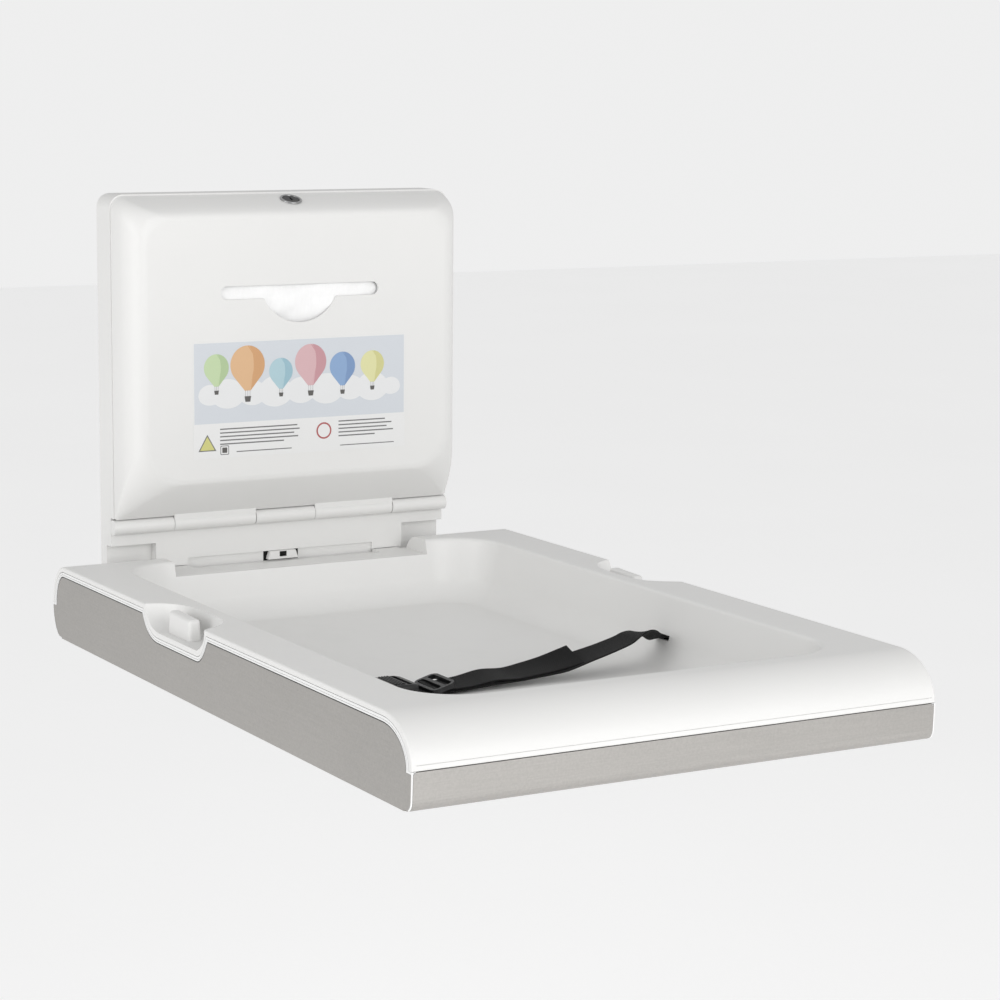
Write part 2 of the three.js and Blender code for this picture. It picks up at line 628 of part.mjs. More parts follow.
// Wall unit
addPiece('back_plate', makeBackPlate(), whitePlastic);
wallScrews.forEach(([x, z], i) => {
  addPiece(`wall_screw_${i + 1}`, makeScrew(x, z, -PLATE - GAP, -0.5, 8, 4.5, 3.6), brightSteel);
});
const tabOutline = polygon([[-19, -17.6], [19, -17.6], [16, -8.4], [-16, -8.4]]);
addPiece('latch_tab', prismY(tabOutline, FACE_Y + 2.7, FACE_Y - 4.5)
  .subtract(box(-4.5, 4.5, FACE_Y - 9, FACE_Y + 1, -15, -9)), whitePlastic);
addPiece('cover_pin', rodX(COVER_PIN_R, -205, 205, KNUCKLE_Y, KNUCKLE_Z, 20), brightSteel);
addPiece('lock_keeper', makeKeeper(), brightSteel);
addPiece('liner_shelf', box(-150, 150, -74, -PLATE - GAP, 92, 94), brightSteel);
addPiece('liner_stack', box(-142, 142, -73, -13, 94 + GAP, 332), paper);
addPair('hinge_bracket', makeBracket(), brightSteel);
bracketScrews.forEach(([x, z], i) => {
  addPiece(`bracket_screw_${i + 1}`, makeScrew(x, z, -14 - GAP, -0.5, 5.5, 3.5, 3), brightSteel);
});
addPiece('hinge_rod', rodX(ROD_R, -212, 212, AXIS_Y, AXIS_Z), brightSteel);
const clipBore = rodX(ROD_R + GAP, 200, 215, AXIS_Y, AXIS_Z);
addPair('rod_clip', rodX(10, 208, 210, AXIS_Y, AXIS_Z).subtract(clipBore), nylon);

// Dispenser cover and lock
addPiece('dispenser_cover', makeCover(), whitePlastic);
addPiece('information_label', box(-132, 132, COVER_FRONT - 0.9, COVER_FRONT - GAP, 112, 242), labelFilm);
const lockRing = rodZ(12.6, 0.1, 1.5, 0, 0).add(rodZ(11, -18, 0.2, 0, 0)).subtract(rodZ(9.6, -20, 5, 0, 0));
addPiece('lock_housing', atLock(lockRing), brightSteel);
const barrel = rodZ(9.3, -24, 1.1, 0, 0).subtract(box(-0.9, 0.9, -4, 4, -4, 2));
addPiece('lock_barrel', atLock(barrel), brightSteel);
const cam = rodZ(9, -27, -24.3, 0, 0).add(box(0, 24, -5, 5, -27, -24.3)).add(box(19, 24, -5, 14, -27, -24.3));
addPiece('lock_cam', atLock(cam), brightSteel);

// Bed
addPiece('tray', makeTray(), whitePlastic);
addPair('edge_trim', makeEdgeTrim(), trimPlastic);
addPair('side_plate', makeSidePlate(), brushedSteel);
addPiece('cladding_pan', makeCladdingPan(), brushedSteel);
addPair('bag_hook', makeBagHook(), whitePlastic);
addPair('bearing_block', makeBearingBlock(), nylon);
addPair('hinge_bush', makeHingeBush(), nylon);
addPair('stop_pin', rodX(stopPin.r, 179, 204, stopPin.y, stopPin.z, 20), brightSteel);
addPair('damper', makeDamper(), blackPlastic);
addPair('anchor_bar', makeAnchorBar(), brightSteel);
addPiece('strap_right', makeStrap([
  [227, -41.8], [204, -41.8], [190, -36], [175, -31], [160, -38], [148, -44.5], [127, -48], [105, -50],
  [85, -53], [65, -58.5], [45, -62.5], [20, -65], [-20, -66], [-60, -66], [-90, -66], [-110, -66],
]), webbing);
addPiece('strap_left', makeStrap([
  [-227, -41.8], [-206, -41.8], [-197, -46], [-187, -52], [-175, -56],
]), webbing);
addPiece('buckle_female', makeBuckleFemale(), blackPlastic);
addPiece('buckle_male', makeBuckleMale(), blackPlastic);
addPiece('strap_adjuster', makeAdjuster(), blackPlastic);

export default changingTable;
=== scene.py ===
import json
import math
import bmesh
import bpy
from mathutils import Matrix, Vector, noise


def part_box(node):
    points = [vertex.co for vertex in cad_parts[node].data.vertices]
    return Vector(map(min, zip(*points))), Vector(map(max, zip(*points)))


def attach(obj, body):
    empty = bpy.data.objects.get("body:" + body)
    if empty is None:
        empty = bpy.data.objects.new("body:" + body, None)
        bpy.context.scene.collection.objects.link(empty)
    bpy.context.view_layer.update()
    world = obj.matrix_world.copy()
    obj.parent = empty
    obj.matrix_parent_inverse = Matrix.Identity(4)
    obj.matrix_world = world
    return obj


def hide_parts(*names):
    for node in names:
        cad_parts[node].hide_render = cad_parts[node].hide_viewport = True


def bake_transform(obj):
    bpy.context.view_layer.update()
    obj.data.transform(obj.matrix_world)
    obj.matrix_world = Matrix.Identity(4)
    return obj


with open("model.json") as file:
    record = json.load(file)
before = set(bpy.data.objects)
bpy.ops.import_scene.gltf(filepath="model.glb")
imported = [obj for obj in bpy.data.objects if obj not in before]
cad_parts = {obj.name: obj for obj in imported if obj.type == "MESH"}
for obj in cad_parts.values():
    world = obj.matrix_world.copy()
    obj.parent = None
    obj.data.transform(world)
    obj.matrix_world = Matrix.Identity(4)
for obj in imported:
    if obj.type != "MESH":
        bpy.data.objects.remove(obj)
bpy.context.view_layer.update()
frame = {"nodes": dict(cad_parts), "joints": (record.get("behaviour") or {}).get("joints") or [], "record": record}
nodes = frame["nodes"]
scene = bpy.context.scene


# An outline is a list of points in a plane; a body is a closed mesh made from outlines.
def arc(cu, cv, ru, rv, start, end, steps):
    points = []
    for i in range(steps + 1):
        angle = math.radians(start + (end - start) * i / steps)
        points.append((cu + ru * math.cos(angle), cv + rv * math.sin(angle)))
    return points


def curve(points, steps=10):  # a Bezier through its control points
    found = []
    for i in range(steps + 1):
        row = [Vector(p) for p in points]
        while len(row) > 1:
            row = [a.lerp(b, i / steps) for a, b in zip(row, row[1:])]
        found.append(tuple(row[0]))
    return found


def rounded(u0, u1, v0, v1, low, high=None, steps=8):  # low and high are the corner radii
    high = low if high is None else high
    return (
        arc(u1 - low, v0 + low, low, low, -90, 0, steps)
        + arc(u1 - high, v1 - high, high, high, 0, 90, steps)
        + arc(u0 + high, v1 - high, high, high, 90, 180, steps)
        + arc(u0 + low, v0 + low, low, low, 180, 270, steps)
    )


def through(rows, steps):  # a smooth run through rows of numbers, each row met in turn
    found = []
    for i in range(len(rows) - 1):
        before, a, b, after = rows[max(i - 1, 0)], rows[i], rows[i + 1], rows[min(i + 2, len(rows) - 1)]
        for s in range(steps):
            t = s / steps
            found.append([
                0.5 * (2 * q + (r - p) * t
                       + (2 * p - 5 * q + 4 * r - w) * t * t
                       + (3 * q - p - 3 * r + w) * t ** 3)
                for p, q, r, w in zip(before, a, b, after)
            ])
    return found + [list(rows[-1])]


def asObject(name, bm):
    mesh = bpy.data.meshes.new(name)
    bm.to_mesh(mesh)
    bm.free()
    obj = bpy.data.objects.new(name, mesh)
    scene.collection.objects.link(obj)
    return obj


def loft(name, rings):  # a closed body through rings of equal length
    bm = bmesh.new()
    loops = []
    for ring in rings:
        verts = [bm.verts.new(p) for p in ring]
        loops.append([bm.edges.new((verts[i], verts[i - 1])) for i in range(len(verts))])
    for one, two in zip(loops, loops[1:]):
        bmesh.ops.bridge_loops(bm, edges=one + two)
    for end in (loops[0], loops[-1]):
        bmesh.ops.contextual_create(bm, geom=end)
    bmesh.ops.recalc_face_normals(bm, faces=bm.faces)
    return asObject(name, bm)


def alongX(outline, x0, x1):  # an outline in (y, z)
    return loft("alongX", [[(x, y, z) for y, z in outline] for x in (x0, x1)])


def alongY(outline, y0, y1):  # an outline in (x, z)
    return loft("alongY", [[(x, y, z) for x, z in outline] for y in (y0, y1)])


def alongZ(outline, z0, z1):  # an outline in (x, y)
    return loft("alongZ", [[(x, y, z) for x, y in outline] for z in (z0, z1)])


def block(x0, x1, y0, y1, z0, z1):
    bm = bmesh.new()
    bmesh.ops.create_cube(bm, size=1)
    bmesh.ops.scale(bm, vec=(x1 - x0, y1 - y0, z1 - z0), verts=bm.verts)
    bmesh.ops.translate(bm, vec=((x0 + x1) / 2, (y0 + y1) / 2, (z0 + z1) / 2), verts=bm.verts)
    return asObject("block", bm)


def barrelX(radius, x0, x1, y, z, sides=64):
    return alongX(arc(y, z, radius, radius, 0, 360 - 360 / sides, sides - 1), x0, x1)


def settle(obj):  # applies the object's modifiers
    graph = bpy.context.evaluated_depsgraph_get()
    mesh = bpy.data.meshes.new_from_object(obj.evaluated_get(graph))
    obj.modifiers.clear()
    obj.data = mesh
    return obj


def combine(obj, others, operation):
    for other in others:
        step = obj.modifiers.new(operation, "BOOLEAN")
        step.operation = operation
        step.solver = "MANIFOLD"
        step.object = other
    settle(obj)
    for other in others:
        bpy.data.objects.remove(other)
    return obj


def cut(obj, *others):
    return combine(obj, others, "DIFFERENCE")


def add(obj, *others):
    return combine(obj, others, "UNION")


def keep(obj, *others):
    return combine(obj, others, "INTERSECT")


def flipped(obj):  # a copy on the other side of the middle
    bm = bmesh.new()
    bm.from_mesh(obj.data)
    bmesh.ops.scale(bm, vec=(-1, 1, 1), verts=bm.verts)
    bmesh.ops.reverse_faces(bm, faces=bm.faces)
    return asObject(obj.name, bm)


def bothSides(make):
    right, other = make(), make()
    left = flipped(other)
    bpy.data.objects.remove(other)
    return [right, left]


def merged(node):  # a copy of a CAD node as whole faces
    bm = bmesh.new()
    bm.from_mesh(nodes[node].data)
    bmesh.ops.remove_doubles(bm, verts=bm.verts, dist=1e-5)
    bmesh.ops.dissolve_limit(bm, angle_limit=math.radians(0.6), verts=bm.verts, edges=bm.edges)
    return asObject(node + "Shell", bm)


def soften(obj, width, segments=3, angle=35):  # rounds the piece's edges
    step = obj.modifiers.new("soften", "BEVEL")
    step.width = width
    step.segments = segments
    step.limit_method = "ANGLE"
    step.angle_limit = math.radians(angle)
    step.use_clamp_overlap = True
    step.miter_outer = "MITER_ARC"
    return settle(obj)


def finishPiece(obj, name, body, material, slot, *replaced, smooth=30):
    obj.name = name
    obj.data.name = name
    obj.data.materials.clear()
    obj.data.materials.append(material)
    for face in obj.data.polygons:
        face.use_smooth = True
    obj.data.set_sharp_from_angle(angle=math.radians(smooth))
    step = obj.modifiers.new("flat faces stay flat", "WEIGHTED_NORMAL")
    step.keep_sharp = True
    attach(obj, body)
    if replaced:
        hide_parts(*replaced)
    return obj


# Camera, light and floor.
view = {
    "place": (-1.3552, -2.9047, 0.5524),
    "yaw": 0.5199,
    "pitch": 0.1566,
    "roll": 0.0085,
    "lens": 100.18,
}


def makeCamera():
    yaw, pitch, roll = view["yaw"], view["pitch"], view["roll"]
    ahead = Vector((math.sin(yaw) * math.cos(pitch), math.cos(yaw) * math.cos(pitch), -math.sin(pitch)))
    level = Vector((math.cos(yaw), -math.sin(yaw), 0))
    steep = level.cross(ahead)
    right = math.cos(roll) * level + math.sin(roll) * steep
    up = math.cos(roll) * steep - math.sin(roll) * level
    data = bpy.data.cameras.new("camera")
    data.sensor_width = 36
    data.lens = view["lens"]
    data.clip_end = 60
    camera = bpy.data.objects.new("camera", data)
    turn = Matrix((right, up, -ahead)).transposed().to_4x4()
    camera.matrix_world = Matrix.Translation(view["place"]) @ turn
    scene.collection.objects.link(camera)
    scene.camera = camera


studio = {
    "floorDrop": 0.9,
    "floorReach": 14,
    "aim": (0, -0.45, 0),
    "sky": 0.60,
    "backdrop": 0.86,
    "glow": 0.25,
    "key": {"place": (0.4, -3.8, 0.9), "size": 2.4, "power": 47},
    "fill": {"place": (-3.4, -1.2, 0.9), "size": 2.4, "power": 33},
}


def makeStudio():
    world = bpy.data.worlds.new("studio")
    world.use_nodes = True
    backdrop = world.node_tree.nodes["Background"]
    backdrop.inputs["Color"].default_value = (1, 1, 1, 1)
    # the backdrop looks paler than the light it gives
    seen = world.node_tree.nodes.new("ShaderNodeLightPath")
    level = world.node_tree.nodes.new("ShaderNodeMath")
    level.operation = "MULTIPLY_ADD"
    level.inputs[1].default_value = studio["backdrop"] - studio["sky"]
    level.inputs[2].default_value = studio["sky"]
    world.node_tree.links.new(seen.outputs["Is Camera Ray"], level.inputs[0])
    world.node_tree.links.new(level.outputs[0], backdrop.inputs["Strength"])
    scene.world = world
    scene.view_settings.view_transform = "Standard"
    for name in ("key", "fill"):
        lamp = studio[name]
        data = bpy.data.lights.new(name, "AREA")
        data.shape = "DISK"
        data.size = lamp["size"]
        data.energy = lamp["power"]
        light = bpy.data.objects.new(name, data)
        towards = Vector(studio["aim"]) - Vector(lamp["place"])
        turn = towards.to_track_quat("-Z", "Y").to_matrix().to_4x4()
        light.matrix_world = Matrix.Translation(lamp["place"]) @ turn
        scene.collection.objects.link(light)
    reach, top = studio["floorReach"], -studio["floorDrop"]
    floor = block(-reach, reach, -reach, reach, top - 0.02, top)
    floor.name = "floor"
    floor.data.materials.append(paleFloor())


# Materials.
class Value:  # a number from a node, for shader maths
    def __init__(self, finish, socket):
        self.finish = finish
        self.socket = socket

    def join(self, operation, first, second=None):
        sockets = {0: first} if second is None else {0: first, 1: second}
        return self.finish.node("ShaderNodeMath", {"operation": operation}, sockets)

    def __add__(self, other):
        return self.join("ADD", self, other)

    def __radd__(self, other):
        return self.join("ADD", other, self)

    def __mul__(self, other):
        return self.join("MULTIPLY", self, other)

    def __rmul__(self, other):
        return self.join("MULTIPLY", other, self)

    def sine(self):
        return self.join("SINE", self)

    def size(self):
        return self.join("ABSOLUTE", self)


class Finish:  # a material, built node by node
    def __init__(self, name, **settings):
        self.material = bpy.data.materials.new(name)
        self.material.use_nodes = True
        self.tree = self.material.node_tree
        self.shader = self.tree.nodes["Principled BSDF"]
        for socket, value in settings.items():
            self.shader.inputs[socket.replace("_", " ")].default_value = value
        self.place = self.node("ShaderNodeTexCoord", {}, {}, "Object")

    def node(self, kind, settings, sockets, output=0):
        made = self.tree.nodes.new(kind)
        for key, value in settings.items():
            if key == "stops":
                for stop, (at, colour) in zip(made.color_ramp.elements, value):
                    stop.position = at
                    stop.color = colour
            else:
                setattr(made, key, value)
        for key, value in sockets.items():
            if isinstance(value, Value):
                self.tree.links.new(value.socket, made.inputs[key])
            else:
                made.inputs[key].default_value = value
        return Value(self, made.outputs[output])

    def feed(self, socket, value):
        self.tree.links.new(value.socket, self.shader.inputs[socket])

    def noise(self, scale, detail=2.0, stretch=(1, 1, 1), roughness=0.5):
        place = self.node("ShaderNodeMapping", {}, {"Vector": self.place, "Scale": stretch})
        sockets = {"Vector": place, "Scale": scale, "Detail": detail, "Roughness": roughness}
        return self.node("ShaderNodeTexNoise", {}, sockets)

    def mix(self, mask, low, high):
        return self.node("ShaderNodeMix", {"data_type": "RGBA"}, {0: mask, 6: low, 7: high}, 2)

    def ramp(self, value, low, high):  # 0 at low and 1 at high
        stops = [(low, (0, 0, 0, 1)), (high, (1, 1, 1, 1))]
        return self.node("ShaderNodeValToRGB", {"stops": stops}, {0: value})

    def bump(self, height, distance, strength=1.0):
        sockets = {"Height": height, "Distance": distance, "Strength": strength}
        bumped = self.node("ShaderNodeBump", {}, sockets)
        self.feed("Normal", bumped)


def shade(colour, factor=1.0):
    return tuple(c * factor for c in colour) + (1,)


def paleFloor():
    finish = Finish("paleFloor", Roughness=0.9, Emission_Color=(1, 1, 1, 1), Emission_Strength=studio["glow"])
    cloud = finish.noise(1.5, 3)
    finish.feed("Base Color", finish.mix(cloud, (0.93, 0.93, 0.93, 1), (0.96, 0.96, 0.96, 1)))
    return finish.material


plasticLook = {
    "grainScale": 900,
    "grainHeight": 0.00012,
    "mottle": 0.035,
    "scuff": 0.10,
}


def mouldedPlastic(name, colour, roughness):
    finish = Finish(name, IOR=1.5)
    cloud = finish.noise(7, 4)
    scuffs = finish.ramp(finish.noise(26, 5, (1, 1, 3), 0.65), 0.52, 0.72)
    finish.feed("Base Color", finish.mix(cloud, shade(colour, 1 - plasticLook["mottle"]), shade(colour)))
    finish.feed("Roughness", roughness + plasticLook["scuff"] * scuffs + 0.05 * cloud)
    grain = finish.noise(plasticLook["grainScale"], 2) + 0.6 * finish.noise(plasticLook["grainScale"] / 4, 2)
    finish.bump(grain, plasticLook["grainHeight"], 0.5)
    return finish.material


steelLook = {
    "colour": (0.45, 0.435, 0.415),
    "contrast": 0.38,
    "roughness": 0.40,
    "grain": 0.10,
}


def brushedSteel(name):
    finish = Finish(name, Metallic=1.0)
    streaks = finish.noise(60, 4, (0.35, 0.35, 26), 0.7)
    fleck = finish.noise(430, 4, (1, 1, 1), 0.7)
    cloud = finish.noise(5, 3)
    mask = 0.35 * streaks + 0.45 * fleck + 0.2 * cloud
    low, high = (shade(steelLook["colour"], 1 + side * steelLook["contrast"]) for side in (-1, 1))
    finish.feed("Base Color", finish.mix(mask, low, high))
    finish.feed("Roughness", steelLook["roughness"] - 0.06 + steelLook["grain"] * mask)
    finish.bump(streaks + 0.7 * fleck, 0.00003, 0.6)
    return finish.material


def brightSteel(name, tone):
    finish = Finish(name, Metallic=1.0)
    cloud = finish.noise(40, 3)
    finish.feed("Base Color", finish.mix(cloud, shade((tone,) * 3, 0.93), shade((tone,) * 3, 1.07)))
    finish.feed("Roughness", 0.16 + 0.14 * finish.noise(300, 3))
    return finish.material


webLook = {
    "rib": 0.0024,
    "yarn": 0.0016,
    "dark": (0.0028, 0.0028, 0.003),
    "light": (0.011, 0.011, 0.0115),
}


def wovenWeb(name):  # reads how far along and across the web a point lies
    finish = Finish(name, Roughness=0.8, IOR=1.3, Sheen_Weight=0.05, Sheen_Roughness=0.4)
    lay = finish.node("ShaderNodeAttribute", {"attribute_name": "weave"}, {}, "Vector")
    along = finish.node("ShaderNodeSeparateXYZ", {}, {0: lay}, "X")
    across = finish.node("ShaderNodeSeparateXYZ", {}, {0: lay}, "Y")
    wander = 2.0 * (across * (math.pi / webLook["yarn"])).sine()
    ribs = (along * (2 * math.pi / webLook["rib"]) + wander).sine()
    yarns = (across * (2 * math.pi / webLook["yarn"])).sine().size()
    weave = 0.5 + 0.25 * ribs + 0.25 * yarns
    fuzz = finish.noise(500, 3)
    finish.feed("Base Color", finish.mix(weave * fuzz, shade(webLook["dark"]), shade(webLook["light"])))
    finish.feed("Roughness", 0.72 + 0.18 * fuzz)
    finish.bump(weave + 0.4 * fuzz, 0.0004, 0.8)
    return finish.material


def creasedPaper(name):
    finish = Finish(name, Roughness=0.9)
    crepe = finish.noise(350, 4, (1, 1, 0.25))
    finish.feed("Base Color", finish.mix(crepe, (0.92, 0.92, 0.92, 1), (0.99, 0.99, 0.99, 1)))
    finish.bump(crepe + finish.noise(60, 3), 0.0004, 0.5)
    return finish.material


def printedInk(name, colour):
    finish = Finish(name, Roughness=0.42)
    speck = finish.noise(1500, 2)
    finish.feed("Base Color", finish.mix(speck, shade(colour, 0.94), shade(colour, 1.04)))
    return finish.material


white = mouldedPlastic("whitePlastic", (0.80, 0.797, 0.785), 0.40)
trimWhite = mouldedPlastic("trimPlastic", (0.86, 0.86, 0.855), 0.34)
nylon = mouldedPlastic("nylon", (0.62, 0.61, 0.57), 0.5)
black = mouldedPlastic("blackPlastic", (0.012, 0.012, 0.013), 0.36)
# a near-black material for painted shade: the shade inside the wall unit around the latch tab
paintedShadeBlack = mouldedPlastic("paintedShadeInside", (0.001, 0.001, 0.001), 0.9)
brushed = brushedSteel("brushedSteel")
bright = brightSteel("brightSteel", 0.70)
chrome = brightSteel("chrome", 0.42)
# chrome made nearly black, a painted reflection and shade: it stands in for the dark surroundings and shade the
# lock's face shows
paintedShadeChrome = brightSteel("paintedShadeChrome", 0.05)
webbing = wovenWeb("webbing")
paper = creasedPaper("paper")

makeCamera()
makeStudio()
print("camera and studio made")


# The bed's outline is shared by the tray, the trims and the steel.
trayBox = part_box("tray")
sideX = trayBox[1].x
bed = {
    "front": trayBox[0].y,
    "flatStart": -0.065,
    "flatEnd": -0.825,
    "rearRoll": 0.0335,
    "rollMiddle": -0.045,
    "bottom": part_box("cladding_pan")[0].z,
    "seam": -0.044,
    "skin": 0.004,
    "lip": 0.0054,
    "band": 0.0104,
    "gap": 0.0003,
    "wall": 0.0044,
    "steel": 0.0012,
}


def bedOutline(d):  # side view, inset by d
    low, front, steps = bed["bottom"] + d, bed["front"], 26
    middle = bed["rollMiddle"]
    rear = arc(-0.055, middle, 0.0235 - d, middle - low, -90, 0, 12)[:-1]
    roll = arc(bed["flatStart"], middle, bed["rearRoll"] - d, -middle - d, 0, 90, steps)
    nose = arc(bed["flatEnd"], bed["seam"], bed["flatEnd"] - front - d, -bed["seam"] - d, 90, 180, steps)
    heel = curve([(front + 0.001 + d, -0.068), (front + 0.001 + d, low), (front + 0.014, low)], 8)
    return rear + roll + nose + heel


recessSize = {
    "rear": -0.296,
    "front": -0.446,
    "depth": 0.0245,
    "width": 0.038,
}


def recessSide(d):  # side view of the hook recess, grown by d
    rear, front, floor = recessSize["rear"], recessSize["front"], -recessSize["depth"] - d
    return (
        [(rear + d, 0.006)]
        + curve([(rear + d, -0.0015), (rear - 0.010 + d, floor), (rear - 0.034, floor)], 14)
        + curve([(front + 0.019, floor), (front + 0.006, floor), (front + 0.004 - d, -0.012),
                 (front - d, -0.004)], 12)
        + [(front - d, 0.006)]
    )


def recessHollow(d=0.0):  # the recess itself, with soft edges, grown by d
    depth = recessSize["depth"] + d
    rings = []
    for i in range(15):
        t = i / 14
        z = -depth * t
        ease = 1 - math.sqrt(max(1 - t, 0))
        rear = recessSize["rear"] + d - 0.020 * ease * (1 - ease) - 0.034 * ease ** 2
        front = recessSize["front"] - d + 0.019 * t ** 3
        foot = 0.006 * (1 - math.sqrt(max(1 - max((t - 0.75) / 0.25, 0) ** 2, 0)))
        inner = sideX - recessSize["width"] - d + 0.003 * t + foot
        long = rear - front
        outline = (
            [(sideX + 0.02, rear)]
            + curve([(sideX, rear), (sideX - 0.026, rear - 0.006), (inner, rear - 0.2 * long),
                     (inner, rear - 0.41 * long)], 14)
            + curve([(inner, front + 0.33 * long), (inner, front + 0.15 * long),
                     (sideX - 0.022 - d, front + 0.014), (sideX, front)], 14)
            + [(sideX + 0.02, front)]
        )
        rings.append([(x, y, z) for x, y in outline])
    top = [(x, y, 0.012) for x, y, z in rings[0]]
    return loft("recess", [top] + rings)


basinSize = {
    "half": 0.226,
    "rear": -0.087,
    "front": -0.810,
    "corner": 0.060,
    "depth": 0.068,
    "draft": 0.018,
    "fillet": 0.024,
    "edge": 0.0035,
}


def basin(d=0.0):
    size = basinSize
    rings = []

    def addRing(z, inset):
        radius = max(size["corner"] + d - inset * 0.5, 0.006)
        outline = rounded(-size["half"] - d + inset, size["half"] + d - inset,
                          size["front"] - d + inset, size["rear"] + d - inset, radius, steps=16)
        rings.append([(x, y, z) for x, y in outline])

    top = -size["depth"] - d + size["fillet"]
    for i in range(13):
        angle = math.radians(90 * (1 - i / 12))
        z = top - size["fillet"] * math.sin(angle)
        addRing(z, size["draft"] * -z / size["depth"] + size["fillet"] * (1 - math.cos(angle)))
    for i in range(9):
        angle = math.radians(85 * i / 8)
        z = -size["edge"] * (1 - math.sin(angle))
        addRing(z, size["draft"] * -z / size["depth"] - size["edge"] * (1 - math.cos(angle)))
    addRing(0.012, -size["edge"])
    return loft("basin", rings)


axle = frame["joints"][0]["pos_m"]


armSweep = {
    "inner": 0.022,
    "outer": 0.060,
    "start": -56,
    "end": 70,
    "width": 0.009,
}


def armSlot():  # where the fixed arms pass as the bed turns
    sweep = armSweep
    x0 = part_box("stop_pin_right")[0].x + 0.0015
    outline = (
        arc(axle[1], axle[2], sweep["outer"], sweep["outer"], sweep["start"], sweep["end"], 20)
        + arc(axle[1], axle[2], sweep["inner"], sweep["inner"], sweep["end"], sweep["start"], 12)
    )
    return alongX(outline, x0, x0 + sweep["width"])


notchSize = {
    "half": 0.158,
    "ledge": -0.0165,
    "rear": -0.010,
    "front": -0.095,
    "lip": 0.150,
    "trough": 0.117,
    "troughDepth": 0.0032,
    "edge": 0.002,
}


def notch():  # clears the wall unit; its top edges flare
    size = notchSize
    rings = []
    for z, out in [(size["ledge"], 0), (-size["edge"], 0)] + [
        (-size["edge"] * (1 - math.sin(math.radians(a))), size["edge"] * (1 - math.cos(math.radians(a))))
        for a in (25, 50, 80)
    ] + [(0.012, size["edge"])]:
        half = size["half"] + out
        outline = rounded(-half, half, size["front"], size["rear"], 0.001, steps=3)
        rings.append([(x, y, z) for x, y in outline])
    return loft("notch", rings)


def dipped(d, x0, x1):  # the bed's side inset by d, dipping round the hook recess
    return cut(alongX(bedOutline(d), x0, x1), alongX(recessSide(d), x0 - 0.001, x1 + 0.001))


def ring(d0, d1, x0, x1):  # between two insets of the bed's outline
    return cut(alongX(bedOutline(d0), x0, x1), alongX(bedOutline(d1), x0 - 0.001, x1 + 0.001))


frontLine = {  # the fine lines along the front roll, above the steel
    "low": -0.0390,
    "high": -0.0383,
    "depth": 0.0013,
    "seamGap": 0.0009,
    "seamDepth": 0.0008,
}
strapSlit = {  # where the webbing goes through the basin's wall, from the strap's middle
    "right": (0.205, 0.221, 0.010, 0.036, -0.0455, -0.0400),
    "left": (-0.221, -0.196, -0.022, 0.022, -0.044, -0.0395),
}


def makeTray():
    wall, skin, seam = sideX - bed["wall"], bed["skin"], bed["seam"] + bed["gap"]
    edge = 0.0016
    rings = []
    for side in (-1, 1):
        half = []
        for i in range(5):
            angle = math.radians(90 * i / 4)
            x = side * (sideX - edge * (1 - math.sin(angle)))
            half.append([(x, y, z) for y, z in bedOutline(edge * (1 - math.cos(angle)))])
        rings += half[::-1] if side < 0 else half
    body = loft("tray", rings)
    cut(body, *bothSides(lambda: dipped(bed["lip"], wall, sideX + 0.001)))
    hollow = alongX(bedOutline(skin), -wall + skin, wall - skin)
    size = notchSize
    cut(hollow, block(-size["half"] - skin, size["half"] + skin, size["front"] - 0.006, -0.010,
                      size["ledge"] - skin, 0.012))
    cut(hollow, *bothSides(lambda: recessHollow(skin)), basin(skin))
    cut(body, hollow)
    below = cut(block(-0.3, 0.3, bed["front"] - 0.009, 0, bed["bottom"] - 0.009, seam), basin(skin))
    cut(body, below, basin())
    cut(body, notch())
    add(body, block(-size["lip"], size["lip"], -0.042, -0.0312, size["ledge"] - 0.004, size["ledge"]))
    floor = size["ledge"] - size["troughDepth"]
    channel = rounded(-size["trough"], size["trough"], -0.056, 0, 0.007)
    cut(body, alongZ(channel, floor, size["ledge"] + 0.001))
    cut(body, *bothSides(recessHollow))
    cut(body, *bothSides(armSlot))
    front = bed["front"]
    line = frontLine
    cut(body, block(-0.2755, 0.2755, front - 0.001, front + line["depth"], line["low"], line["high"]),
        block(-0.28, 0.28, front - 0.001, front + line["seamDepth"], seam - 0.001, seam + line["seamGap"]))
    strapY = (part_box("strap_right")[0].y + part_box("strap_right")[1].y) / 2
    cut(body, *[
        block(x0, x1, strapY + y0, strapY + y1, z0, z1) for x0, x1, y0, y1, z0, z1 in strapSlit.values()
    ])
    finishPiece(body, "trayShell", "bed", white, "white_plastic", "tray", smooth=35)


makeTray()
print("tray made")

# Trims and steel round the bed.
trim = {
    "gap": 0.0006,
    "groove": 0.0082,
    "grooveWidth": 0.0006,
    "grooveDepth": 0.0010,
    "bead": 0.0010,
    "steelGap": 0.0012,
}


def makeTrim():  # the white profile on the +X side
    inner, outer = sideX - 0.0041, sideX
    lip, band, seam = bed["lip"], bed["band"], bed["seam"]
    low = bed["bottom"] + 0.0015

    def bead(y0, y1):
        start = outer - 0.0013
        return keep(ring(0, trim["bead"], start, outer), block(start, outer, y0, y1, low, seam - 0.001))

    strip = cut(dipped(lip + trim["gap"], inner, outer), dipped(band, inner - 0.001, outer + 0.001))
    groove = cut(dipped(trim["groove"], inner - 0.001, outer + 0.001),
                 dipped(trim["groove"] + trim["grooveWidth"], inner - 0.002, outer + 0.002))
    cut(strip, keep(groove, block(outer - trim["grooveDepth"], outer + 0.002, -1, 0, -0.2, 0.009)))
    keep(strip, block(inner - 0.001, outer + 0.001, -1, 0, seam - 0.002, 0.009))
    shoulder = ring(0, band, inner, outer)
    keep(shoulder, block(inner, outer, -1, 0, seam - 0.002, seam))
    add(strip, shoulder, bead(bed["front"] - 0.001, bed["front"] + 0.007), bead(-0.054, -0.020))
    return soften(strip, 0.0003, 2, 50)


